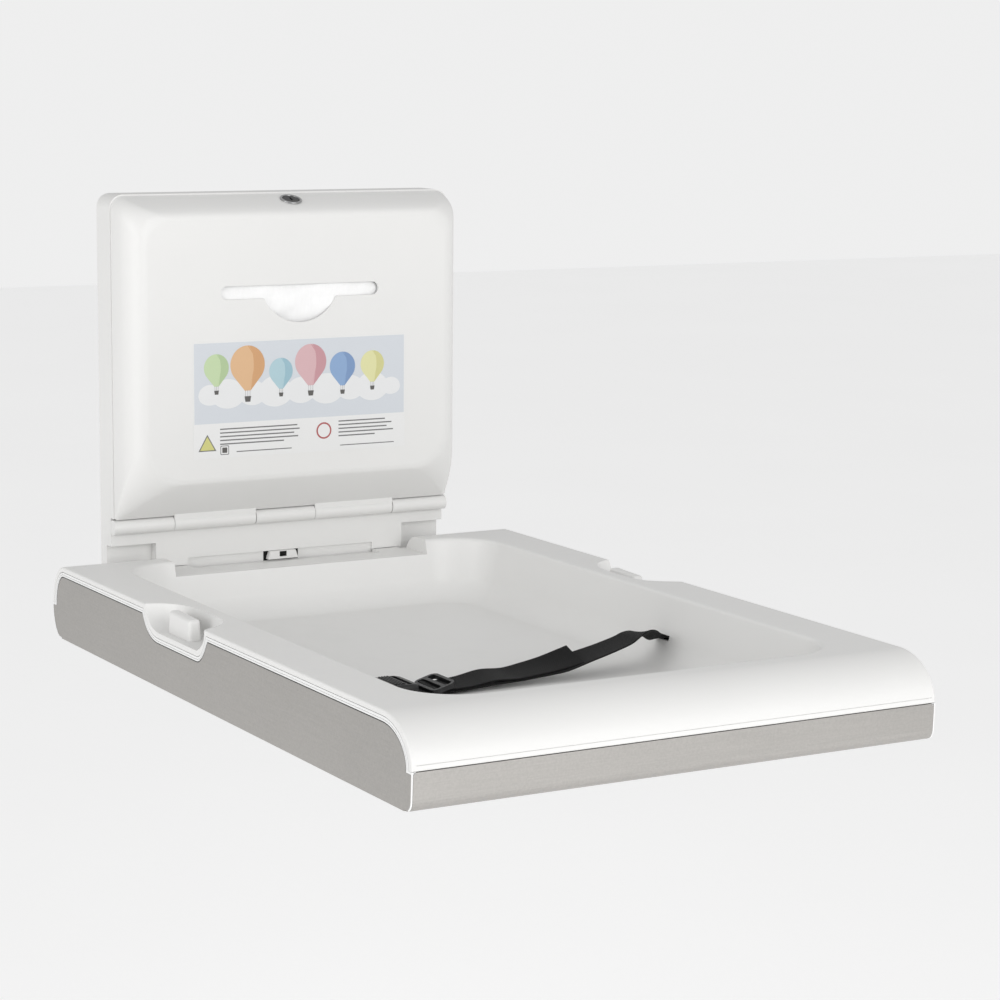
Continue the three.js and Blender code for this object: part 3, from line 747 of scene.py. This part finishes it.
def makeGapShadeStrip():  # painted shade: a black strip in the gap where the steel tucks under the trim, standing in for the shade there
    inner, outer = sideX - 0.0012, sideX - 0.0006
    start, end = bed["band"] + 0.0001, bed["band"] + trim["steelGap"] + 0.0003
    line = cut(dipped(start, inner, outer), dipped(end, inner - 0.001, outer + 0.001))
    return keep(line, block(inner, outer, -1, 0, bed["seam"], 0.009))


def makeSidePlate():
    inner, outer = sideX - bed["gap"] - bed["steel"], sideX - bed["gap"]
    gap, front, low = bed["band"] + trim["steelGap"], bed["front"], bed["bottom"]
    plate = dipped(gap, inner, outer)
    lower = keep(alongX(bedOutline(trim["bead"] + bed["gap"]), inner, outer),
                 block(inner, outer, front, 0, low, bed["seam"] - 0.0023))
    return add(plate, lower, block(inner, outer, front + 0.015, -0.056, low, low + 0.006))


def makePan():
    half = sideX - 0.0016
    pan = ring(0, bed["steel"], -half, half)
    cut(pan, block(-0.3, 0.3, -1, 0, bed["seam"] - bed["gap"], 0.009), *bothSides(armSlot))
    return finishPiece(pan, "panSheet", "bed", brushed, "brushed_steel", "cladding_pan", smooth=40)


def finishPair(pair, name, body, material, slot, node, smooth=30):
    for piece, side in zip(pair, ("right", "left")):
        finishPiece(piece, f"{name}_{side}", body, material, slot, f"{node}_{side}", smooth=smooth)


finishPair(bothSides(makeTrim), "trimProfile", "bed", trimWhite, "trim_plastic", "edge_trim", 35)
finishPair(bothSides(makeSidePlate), "sideSheet", "bed", brushed, "brushed_steel", "side_plate")
# each side gets the black strip of painted shade under the trim
for piece, side in zip(bothSides(makeGapShadeStrip), ("right", "left")):
    finishPiece(piece, f"gapShadeStrip_{side}", "bed", black, "black_plastic")
makePan()
print("trims and steel made")


# Bag hooks.
hookShape = {
    "sunk": 0.004,
    "slope": 0.0016,
    "edge": 0.0034,
    "taperX": 0.0008,
    "taperFront": 0.0015,
    "taperRear": 0.0006,
}


def makeHook():
    low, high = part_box("bag_hook_right")
    shape = hookShape
    peg = block(low.x, high.x, low.y, high.y, low.z - shape["sunk"], high.z)
    for vert in peg.data.vertices:
        if vert.co.z > high.z - 0.001:
            isFront = vert.co.y < (low.y + high.y) / 2
            vert.co.z -= shape["slope"] if isFront else 0
            vert.co.x += shape["taperX"] if vert.co.x < (low.x + high.x) / 2 else -shape["taperX"]
            vert.co.y += shape["taperFront"] if isFront else -shape["taperRear"]
    soften(peg, shape["edge"], 6)
    below = block(low.x - 0.01, high.x + 0.01, low.y - 0.01, high.y + 0.01, low.z - 0.01, low.z - 0.0002)
    return cut(peg, below)


finishPair(bothSides(makeHook), "peg", "bed", white, "white_plastic", "bag_hook", 60)


# Dispenser cover.
coverRings = [  # y, half width, low z, high z, lower and upper corner radius
    (-0.0390, 0.2092, 0.0430, 0.4022, 0.004, 0.015),
    (-0.0500, 0.2084, 0.0520, 0.3990, 0.014, 0.016),
    (-0.0620, 0.2060, 0.0635, 0.3945, 0.026, 0.018),
    (-0.0720, 0.2010, 0.0735, 0.3900, 0.036, 0.021),
    (-0.0790, 0.1950, 0.0810, 0.3855, 0.042, 0.024),
    (-0.0820, 0.1900, 0.0850, 0.3815, 0.044, 0.026),
    (-0.0830, 0.1840, 0.0900, 0.3760, 0.044, 0.028),
]
opening = {
    "half": 0.098,
    "low": 0.288,
    "high": 0.303,
    "fingerRadius": 0.050,
    "fingerCentre": 0.310,
    "edge": 0.0011,
}
hingeLine = frame["joints"][1]["pos_m"]
knuckleSize = {
    "radius": 0.0085,
    "splits": (-0.210, -0.1382, -0.0373, 0.0373, 0.1382, 0.210),
    "pinRoom": 0.0028,
    "edge": 0.0008,
}


def coverBody(inset, shift):
    rings = []
    for y, half, low, high, lowR, highR in through(coverRings, 4):
        outline = rounded(-half + inset, half - inset, low + inset, high - inset, lowR, highR, steps=12)
        rings.append([(x, y + shift, z) for x, z in outline])
    return loft("cover", rings)


def makeKnuckle(i, tail):
    x0, x1 = knuckleSize["splits"][i] + bed["gap"], knuckleSize["splits"][i + 1] - bed["gap"]
    radius, edge = knuckleSize["radius"], knuckleSize["edge"]
    ends = [(x0, radius - edge), (x0 + edge, radius), (x1 - edge, radius), (x1, radius - edge)]
    rings = [[(x, y, z) for y, z in arc(hingeLine[1], hingeLine[2], r, r, 0, 354, 59)] for x, r in ends]
    return add(loft("knuckle", rings), block(x0, x1, *tail))


lockJoint = frame["joints"][2]
lockFrame = Matrix.Translation(lockJoint["pos_m"]) @ Matrix.Rotation(math.radians(20), 4, "X")


def discZ(radius, z0, z1, sides=64):  # on the lock's own axis
    made = alongZ(arc(0, 0, radius, radius, 0, 360 - 360 / sides, sides - 1), z0, z1)
    made.data.transform(lockFrame)
    return made


def makeCover():
    front = coverRings[-1][0]
    shell = coverBody(0, 0)
    back = block(-0.206, 0.206, -0.043, -0.033, 0.047, 0.398)
    cut(shell, coverBody(0.003, 0.003), keep(back, coverBody(0.003, 0.0)))
    radius = (opening["high"] - opening["low"]) / 2
    half, middle = opening["half"], opening["low"] + radius
    slot = (
        arc(half - radius, middle, radius, radius, -90, 90, 14)
        + arc(-half + radius, middle, radius, radius, 90, 270, 14)
    )
    centre, bow = opening["fingerCentre"], opening["fingerRadius"]
    reach = math.degrees(math.asin((centre - opening["low"] - 0.001) / bow))
    finger = arc(0, centre, bow, bow, 180 + reach, 360 - reach, 40)
    cut(shell, add(alongY(slot, -0.090, -0.070), alongY(finger, -0.0895, -0.0705)))
    bm = bmesh.new()
    bm.from_mesh(shell.data)

    def onRim(v):
        return abs(v.co.y - front) < 1e-5 and abs(v.co.x) < half + 0.004 and abs(v.co.z - middle) < 0.034

    sharp = [e for e in bm.edges if e.is_manifold and e.calc_face_angle() > 0.5]
    rim = [e for e in sharp if all(onRim(v) for v in e.verts)]
    bmesh.ops.bevel(bm, geom=rim, offset=opening["edge"], offset_type="OFFSET", segments=3, profile=0.5,
                    affect="EDGES", material=-1, clamp_overlap=True)
    bm.to_mesh(shell.data)
    bm.free()
    add(shell, keep(discZ(0.015, -0.006, -0.0002), coverBody(0, 0)))
    cut(shell, discZ(0.013, -0.0002, 0.009), discZ(0.0113, -0.020, 0.009))
    tail = (-0.0416, -0.0393, hingeLine[2] + 0.004, 0.0455)
    add(shell, makeKnuckle(1, tail), makeKnuckle(3, tail))
    cut(shell, barrelX(knuckleSize["pinRoom"], -0.19, 0.19, hingeLine[1], hingeLine[2], 32))
    finishPiece(shell, "coverShell", "cover", white, "white_plastic", "dispenser_cover", smooth=35)


makeCover()
print("cover made")


# The label is a thin film with a plain picture, and bars where words would be.
labelLow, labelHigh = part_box("information_label")
labelSize = {
    "film": 0.00018,
    "ink": 0.00005,
    "skyLine": 0.151,
    "border": 0.0012,
}
labelColours = {
    "film": (0.80, 0.80, 0.795), "sky": (0.64, 0.67, 0.71), "cloud": (0.78, 0.785, 0.79),
    "blue": (0.25, 0.38, 0.60), "blueShade": (0.19, 0.30, 0.51),
    "rose": (0.66, 0.43, 0.45), "roseShade": (0.55, 0.29, 0.32),
    "green": (0.53, 0.66, 0.40), "greenShade": (0.42, 0.55, 0.31),
    "yellow": (0.72, 0.71, 0.38), "yellowShade": (0.62, 0.60, 0.27),
    "orange": (0.71, 0.45, 0.25), "orangeShade": (0.62, 0.34, 0.16),
    "aqua": (0.42, 0.59, 0.65), "aquaShade": (0.31, 0.49, 0.57),
    "basket": (0.10, 0.095, 0.09), "bar": (0.16, 0.16, 0.16),
    "sign": (0.62, 0.60, 0.22), "ring": (0.42, 0.10, 0.10),
}
balloons = [  # colour, x, z of the middle, radius
    ("green", -0.104, 0.2130, 0.0150), ("orange", -0.066, 0.2150, 0.0210), ("aqua", -0.025, 0.2060, 0.0145),
    ("rose", 0.012, 0.2150, 0.0195), ("blue", 0.052, 0.2080, 0.0160), ("yellow", 0.090, 0.2090, 0.0150),
]


def makeLabel():
    bm = bmesh.new()
    names = list(labelColours)
    base = coverRings[-1][0] - 0.00008

    def thicken(verts, faces, colour, thickness=labelSize["ink"]):
        made = bmesh.ops.extrude_face_region(bm, geom=faces)["geom"]
        moved = [g for g in made if isinstance(g, bmesh.types.BMVert)]
        bmesh.ops.translate(bm, vec=(0, -thickness, 0), verts=moved)
        for part in {f for v in verts + moved for f in v.link_faces}:
            part.material_index = names.index(colour)

    def layer(outline, level, colour, thickness=labelSize["ink"]):
        back = base - (0 if level == 0 else labelSize["film"] + (level - 1) * labelSize["ink"])
        verts = [bm.verts.new((x, back, z)) for x, z in outline]
        thicken(verts, bmesh.ops.contextual_create(bm, geom=verts)["faces"], colour, thickness)

    def bar(x0, x1, z, height, level=1, colour="bar"):
        layer([(x0, z), (x1, z), (x1, z + height), (x0, z + height)], level, colour)

    def balloon(colour, x, z, r):
        neck = [(x - 0.17 * r, z - 1.38 * r), (x + 0.17 * r, z - 1.38 * r)]
        layer(neck + arc(x, z, r, r * 1.03, -38, 218, 30), 3, colour)
        dark = arc(x, z, 0.36 * r, 1.03 * r, 90, -38, 14)[:-1] + [(x + 0.17 * r, z - 1.38 * r)]
        layer([neck[1]] + arc(x, z, r, r * 1.03, -38, 90, 20) + dark[1:-1] + [(x + 0.08 * r, z - 1.38 * r)],
              4, colour + "Shade")
        for side in (-1, 0, 1):
            rope = x + side * 0.13 * r
            bar(rope - 0.00012, rope + 0.00012, z - 1.72 * r, 0.36 * r, 4, "basket")
        layer([(x - 0.14 * r, z - 1.98 * r), (x + 0.14 * r, z - 1.98 * r), (x + 0.19 * r, z - 1.68 * r),
               (x - 0.19 * r, z - 1.68 * r)], 5, "basket")

    edge = labelSize["border"]
    x0, x1 = labelLow.x, labelHigh.x
    sheet = [(x0, labelLow.z), (x1, labelLow.z), (x1, labelHigh.z), (x0, labelHigh.z)]
    layer(sheet, 0, "film", labelSize["film"])
    bar(x0 + edge, x1 - edge, labelSize["skyLine"], labelHigh.z - labelSize["skyLine"] - edge, 1, "sky")
    puffs = [(-0.112, 0.014), (-0.090, 0.020), (-0.060, 0.017), (-0.032, 0.021), (0.0, 0.018), (0.032, 0.021),
             (0.062, 0.017), (0.090, 0.020), (0.114, 0.012)]
    left, right = puffs[0][0] - puffs[0][1], puffs[-1][0] + puffs[-1][1]
    bank = bmesh.ops.create_grid(bm, x_segments=180, y_segments=1, size=0.5)["verts"]
    for vert in bank:
        x = left + (right - left) * (vert.co.x + 0.5)
        rise = max(math.sqrt(max(r * r - (x - at) ** 2, 1e-7)) for at, r in puffs)
        z = 0.182 + rise * (0.9 if vert.co.y > 0 else -0.75)
        vert.co = (x, base - labelSize["film"] - labelSize["ink"], z)
    thicken(bank, list({f for v in bank for f in v.link_faces}), "cloud")
    for row in balloons:
        balloon(*row)
    for i, share in enumerate((0.97, 1.0, 0.93, 0.98, 0.80)):
        bar(-0.100, -0.100 + 0.098 * share, 0.1435 - 0.0042 * i, 0.0014)
    for i, share in enumerate((0.85, 0.97, 0.88, 1.0, 0.66)):
        bar(0.047, 0.047 + 0.070 * share, 0.1445 - 0.0042 * i, 0.0014)
    bar(-0.080, -0.012, 0.1175, 0.0011)
    bar(0.049, 0.118, 0.1170, 0.0010)
    for level, r, colour in ((1, 0.0125, "bar"), (2, 0.0102, "sign")):
        layer(arc(-0.1155, 0.1265, r, r, -30, 210, 2), level, colour)
    for level, r, colour in ((1, 0.0095, "ring"), (2, 0.0076, "film")):
        layer(arc(0.0285, 0.1355, r, r, 0, 352, 44), level, colour)
    for level, half, colour in ((1, 0.0052, "bar"), (2, 0.0044, "film"), (3, 0.0030, "basket")):
        square = rounded(-0.0945 - half, -0.0945 + half, 0.1205 - half, 0.1205 + half, half * 0.2, steps=2)
        layer(square, level, colour)
    bmesh.ops.recalc_face_normals(bm, faces=bm.faces)
    label = asObject("printedLabel", bm)
    for name, colour in labelColours.items():
        label.data.materials.append(printedInk("ink" + name[0].upper() + name[1:], colour))
    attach(label, "cover")
    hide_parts("information_label")


makeLabel()
print("label made")


# Paper liners behind the slot.
linerSize = {
    "face": -0.0795,  # the top sheet bulges almost to the slot
    "furthest": -0.0796,
    "middle": 0.288,
    "bulgeWidth": 0.112,
    "bulgeHeight": 0.030,
    "crease": 0.0028,
}


def makeLiners():
    low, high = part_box("liner_stack")
    bm = bmesh.new()
    bmesh.ops.create_grid(bm, x_segments=90, y_segments=70, size=0.5)
    bmesh.ops.scale(bm, vec=(high.x - low.x, high.z - low.z, 1), verts=bm.verts)
    bmesh.ops.rotate(bm, matrix=Matrix.Rotation(math.radians(90), 3, "X"), verts=bm.verts)
    bmesh.ops.translate(bm, vec=((low.x + high.x) / 2, low.y, (low.z + high.z) / 2), verts=bm.verts)
    size = linerSize
    middle = Vector((0, low.y, size["middle"]))
    for vert in bm.verts:
        reach = vert.co - middle
        bulge = math.exp(-(reach.x / size["bulgeWidth"]) ** 8 - (reach.z / size["bulgeHeight"]) ** 2)
        fold = noise.noise(Vector((vert.co.x * 28, 0.3, vert.co.z * 60)))
        crease = fold + 0.5 * noise.noise(vert.co * 120)
        vert.co.y += bulge * (size["face"] - low.y) + bulge * crease * size["crease"]
        vert.co.y = max(vert.co.y, size["furthest"])
    made = bmesh.ops.extrude_face_region(bm, geom=list(bm.faces))["geom"]
    for vert in [g for g in made if isinstance(g, bmesh.types.BMVert)]:
        vert.co.y = high.y
    bmesh.ops.recalc_face_normals(bm, faces=bm.faces)
    finishPiece(asObject("linerPack", bm), "linerPack", "wall_unit", paper, "paper", "liner_stack", smooth=70)


makeLiners()


# Safety strap.
webSize = {
    "width": 0.038,
    "thickness": 0.0015,
    "middle": (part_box("strap_right")[0].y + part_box("strap_right")[1].y) / 2,
    "spanSteps": 7,
}


def makeWeb(name, stations, body, node=None):
    # stations: x, z, roll in degrees with the wall side up, shift in y, share of the full width
    half, thick = webSize["width"] / 2, webSize["thickness"] / 2
    rows = through(stations, webSize["spanSteps"])
    across = [(-half + thick + (2 * half - 2 * thick) * i / 11, -thick) for i in range(12)]
    section = (
        across
        + arc(half - thick, 0, thick, thick, -60, 60, 4)
        + [(u, -v) for u, v in reversed(across)]
        + arc(-half + thick, 0, thick, thick, 120, 240, 4)
    )
    rings, weave, along = [], [], 0.0
    for i, (x, z, roll, shift, share) in enumerate(rows):
        before, after = rows[max(i - 1, 0)], rows[min(i + 1, len(rows) - 1)]
        ahead = Vector((after[0] - before[0], 0, after[1] - before[1])).normalized()
        if i:
            along += math.hypot(x - rows[i - 1][0], z - rows[i - 1][1])
        side = Vector((0, 1, 0))
        up = ahead.cross(side)
        if up.z < 0:
            up = -up
        turn = Matrix.Rotation(math.radians(roll), 3, "X")
        side, up = turn @ side, turn @ up
        middle = Vector((x, webSize["middle"] + shift, z))
        ring = []
        for u, v in section:
            cup = 0.0009 * (2 * u / webSize["width"]) ** 2  # a web's edges curl a little
            ring.append(middle + side * u * share + up * (v + cup))
            weave.append((along, u + half, v))
        rings.append(ring)
    web = loft(name, rings)
    layer = web.data.attributes.new("weave", "FLOAT_VECTOR", "POINT")
    for i, value in enumerate(weave):
        layer.data[i].vector = value
    obj = finishPiece(web, name, body, webbing, "webbing", *([node] if node else []), smooth=50)
    obj.modifiers.clear()
    return obj


strap = {  # each run of webbing by its stations
    "right": [
        (-0.1100, -0.0600, 0, 0, 0.92), (-0.0960, -0.0632, 0, 0, 0.98), (-0.0750, -0.0658, 1, 0, 1),
        (-0.0450, -0.0648, 2, 0, 1), (-0.0200, -0.0632, 3, 0.001, 1), (0.0100, -0.0624, 3, 0.002, 1),
        (0.0350, -0.0608, 4, 0.002, 1), (0.0600, -0.0578, 7, 0.001, 1), (0.0750, -0.0555, 8, 0, 1),
        (0.0900, -0.0525, 6, 0, 1), (0.1050, -0.0490, 4, 0, 1), (0.1270, -0.0440, 2, 0, 1),
        (0.1510, -0.0378, 0, 0.001, 1), (0.1640, -0.0330, -3, 0.003, 0.95),
        (0.1740, -0.0312, -9, 0.005, 0.84), (0.1850, -0.0335, -20, 0.008, 0.70),
        (0.1960, -0.0385, -32, 0.013, 0.60), (0.2060, -0.0424, -24, 0.020, 0.56),
        (0.2160, -0.0432, -6, 0.023, 0.55), (0.2270, -0.0432, -3, 0.023, 0.55),
    ],
    "tail": [  # the free end, back over the strap from the adjuster
        (-0.0780, -0.0606, 1, 0, 1), (-0.0600, -0.0624, 2, 0, 1), (-0.0350, -0.0614, 4, 0.001, 1),
        (-0.0080, -0.0580, 6, 0.002, 1), (0.0180, -0.0590, 6, 0.002, 1), (0.0400, -0.0570, 8, 0.003, 1),
        (0.0620, -0.0540, 11, 0.003, 1), (0.0820, -0.0500, 15, 0.003, 1), (0.0960, -0.0468, 17, 0.003, 1),
    ],
    "left": [
        (-0.2270, -0.0418, 0, 0, 0.93), (-0.2150, -0.0418, 0, 0, 0.93), (-0.2060, -0.0420, 0, 0, 0.95),
        (-0.1970, -0.0462, 0, 0, 0.98), (-0.1870, -0.0520, 0, 0, 1), (-0.1755, -0.0556, 0, 0, 0.98),
        (-0.1700, -0.0560, 0, 0, 0.95),
    ],
}


def makeStraps():
    right = makeWeb("rightWeb", strap["right"], "bed", "strap_right")
    right.parent = None
    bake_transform(right)
    tail = makeWeb("tailWeb", strap["tail"], "bed")
    tail.parent = None
    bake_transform(tail)
    makeWeb("leftWeb", strap["left"], "bed", "strap_left")


makeStraps()
print("straps made")


# Buckle and adjuster.
buckleSize = {
    "edge": 0.0005,
    "prong": [(0.002, 0.003), (-0.030, 0.0075), (-0.031, 0.011), (-0.020, 0.0168),
              (-0.013, 0.0168), (-0.013, 0.010), (0.002, 0.008)],
    "tilt": -16,
}


def buckleBody(rows, z):  # rows: x, half width, half height, corner radius
    middle = webSize["middle"]
    return loft("buckle", [
        [(x, middle + u, z + v) for u, v in rounded(-half, half, -high, high, radius, steps=5)]
        for x, half, high, radius in rows
    ])


def makeFemale():
    low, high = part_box("buckle_female")
    y, z = webSize["middle"], (low.z + high.z) / 2
    x0, x1 = low.x, high.x
    body = buckleBody(through([
        (x0, 0.0195, 0.0036, 0.0030), (x0 + 0.004, 0.0222, 0.0050, 0.0040),
        (x0 + 0.014, 0.0238, 0.0060, 0.0048), (x1 - 0.020, 0.0240, 0.0060, 0.0048),
        (x1 - 0.004, 0.0236, 0.0058, 0.0046), (x1, 0.0228, 0.0054, 0.0042),
    ], 3), z)
    cut(body, block(x0 + 0.014, x1 + 0.001, y - 0.0175, y + 0.0175, z - 0.0036, z + 0.0036),
        block(x0 + 0.0045, x0 + 0.009, y - 0.020, y + 0.020, z - 0.009, z + 0.009))
    cut(body, block(x0 + 0.020, x1 - 0.012, y - 0.030, y + 0.030, z - 0.0036, z + 0.0036))
    for i in range(5):  # grip ribs
        rib = x1 - 0.020 + 0.0026 * i
        add(body, block(rib, rib + 0.0012, y - 0.012, y + 0.012, z + 0.0050, z + 0.0066))
    soften(body, buckleSize["edge"], 2, 40)
    finishPiece(body, "femaleHalf", "bed", black, "black_plastic", "buckle_female", smooth=50)


def makeMale():
    low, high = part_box("buckle_male")
    y, z = webSize["middle"], (low.z + high.z) / 2
    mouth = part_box("buckle_female")[1].x
    base = buckleBody(through([
        (mouth + bed["gap"], 0.0226, 0.0050, 0.0040), (mouth + 0.006, 0.0240, 0.0050, 0.0040),
        (mouth + 0.020, 0.0236, 0.0046, 0.0038), (high.x, 0.0212, 0.0036, 0.0030),
    ], 4), z)
    cut(base, block(mouth + 0.015, mouth + 0.020, y - 0.020, y + 0.020, z - 0.009, z + 0.009))
    reach = 0.003
    tongue = block(mouth - 0.030, mouth + 0.002, y - 0.004, y + 0.004, z - reach, z + reach)
    prongs = [
        alongZ([(mouth + u, y + side * v) for u, v in buckleSize["prong"]], z - reach, z + reach)
        for side in (-1, 1)
    ]
    add(base, tongue, *prongs)
    for i in range(4):
        rib = mouth + 0.002 + 0.0030 * i
        add(base, block(rib, rib + 0.0014, y - 0.019, y + 0.019, z + 0.0044, z + 0.0058))
    soften(base, buckleSize["edge"], 2, 40)
    finishPiece(base, "maleHalf", "buckle_male", black, "black_plastic", "buckle_male", smooth=50)


def makeAdjuster():  # a tri-glide that tips up where the web doubles back
    low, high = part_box("strap_adjuster")
    x0, x1, y, z = low.x, high.x, webSize["middle"], (low.z + high.z) / 2
    thick = 0.0024
    plate = rounded(x0 + 0.004, x1 - 0.003, y - 0.0235, y + 0.0235, 0.008, steps=10)
    body = alongZ(plate, z - thick, z + thick)
    for x in (x0 + 0.0075, x1 - 0.0145):
        hole = rounded(x, x + 0.0080, y - 0.0200, y + 0.0200, 0.0036, steps=5)
        cut(body, alongZ(hole, z - 0.006, z + 0.006))
    soften(body, 0.0014, 4, 40)
    pivot = Vector((x0 + 0.012, y, z))
    body.data.transform(Matrix.Translation(pivot) @ Matrix.Rotation(math.radians(buckleSize["tilt"]), 4, "Y")
                        @ Matrix.Translation(-pivot))
    finishPiece(body, "triGlide", "adjuster", black, "black_plastic", "strap_adjuster", smooth=50)


makeFemale()
makeMale()
makeAdjuster()
print("buckle made")


# The wall unit and small hardware are the CAD shapes with their edges rounded.
slots = {row["node"]: row["material_slot"] for row in frame["record"]["subparts"]}
looks = {
    "white_plastic": white, "trim_plastic": trimWhite, "nylon": nylon, "black_plastic": black,
    "webbing": webbing, "brushed_steel": brushed, "bright_steel": bright, "paper": paper, "label_film": white,
}
for name, node in nodes.items():
    node.data.materials.clear()
    node.data.materials.append(looks[slots[name]])

rounding = {  # how far each carried-over shape's edges are rounded
    "back_plate": 0.0008, "latch_tab": 0.0006, "lock_barrel": 0.0003,
    "hinge_bracket_right": 0.0005, "hinge_bracket_left": 0.0005,
}


def roundNode(node, width):
    body = next(b for b, names in frame["record"]["behaviour"]["bodies"].items() if node in names)
    shape = soften(merged(node), width, 2, 38)
    # the lock barrel takes the nearly black chrome, a painted reflection and shade
    look = paintedShadeChrome if node == "lock_barrel" else looks[slots[node]]
    finishPiece(shape, node + "Shape", body, look, slots[node], node, smooth=32)


for name, width in rounding.items():
    roundNode(name, width)


tabHole = {  # the latch tab's square hole
    "half": 0.0044,
    "low": -0.0149,
    "high": -0.0091,
    "inset": 0.0012,
}


def makeTabShadow():  # painted shade: black plates standing in for the dark inside of the unit, seen through and beside the latch tab
    low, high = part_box("latch_tab")
    back = high.y + 0.0001
    plate = block(low.x - 0.003, high.x + 0.003, back, back + 0.0001, low.z - 0.002, high.z + 0.0004)
    half, z0, z1 = tabHole["half"], tabHole["low"], tabHole["high"]
    # a black block inside the tab's square hole, painting the shade deep in the hole
    add(plate, block(-half, half, low.y + tabHole["inset"], back + 0.00005, z0, z1))
    finishPiece(plate, "tabShadow", "wall_unit", paintedShadeBlack, "black_plastic")


makeTabShadow()


def makeLockRing():
    profile = [(0.0097, -0.018), (0.0110, -0.018), (0.0110, 0.0001), (0.0126, 0.0001)] \
        + arc(0.0116, 0.0006, 0.0010, 0.0010, 0, 90, 5) + arc(0.0106, 0.0007, 0.0009, 0.0009, 90, 180, 5) \
        + [(0.0097, 0.0002)]
    bm = bmesh.new()
    verts = [bm.verts.new((r, 0, z)) for r, z in profile]
    edges = [bm.edges.new((verts[i], verts[i - 1])) for i in range(len(verts))]
    bmesh.ops.spin(bm, geom=verts + edges, cent=(0, 0, 0), axis=(0, 0, 1), angle=2 * math.pi, steps=64,
                   use_merge=True)
    bmesh.ops.remove_doubles(bm, verts=bm.verts, dist=1e-6)
    bmesh.ops.recalc_face_normals(bm, faces=bm.faces)
    bmesh.ops.transform(bm, matrix=lockFrame, verts=bm.verts)
    made = asObject("lockRing", bm)
    finishPiece(made, "lockRing", "cover", chrome, "bright_steel", "lock_housing", smooth=40)


makeLockRing()
print("hardware made")
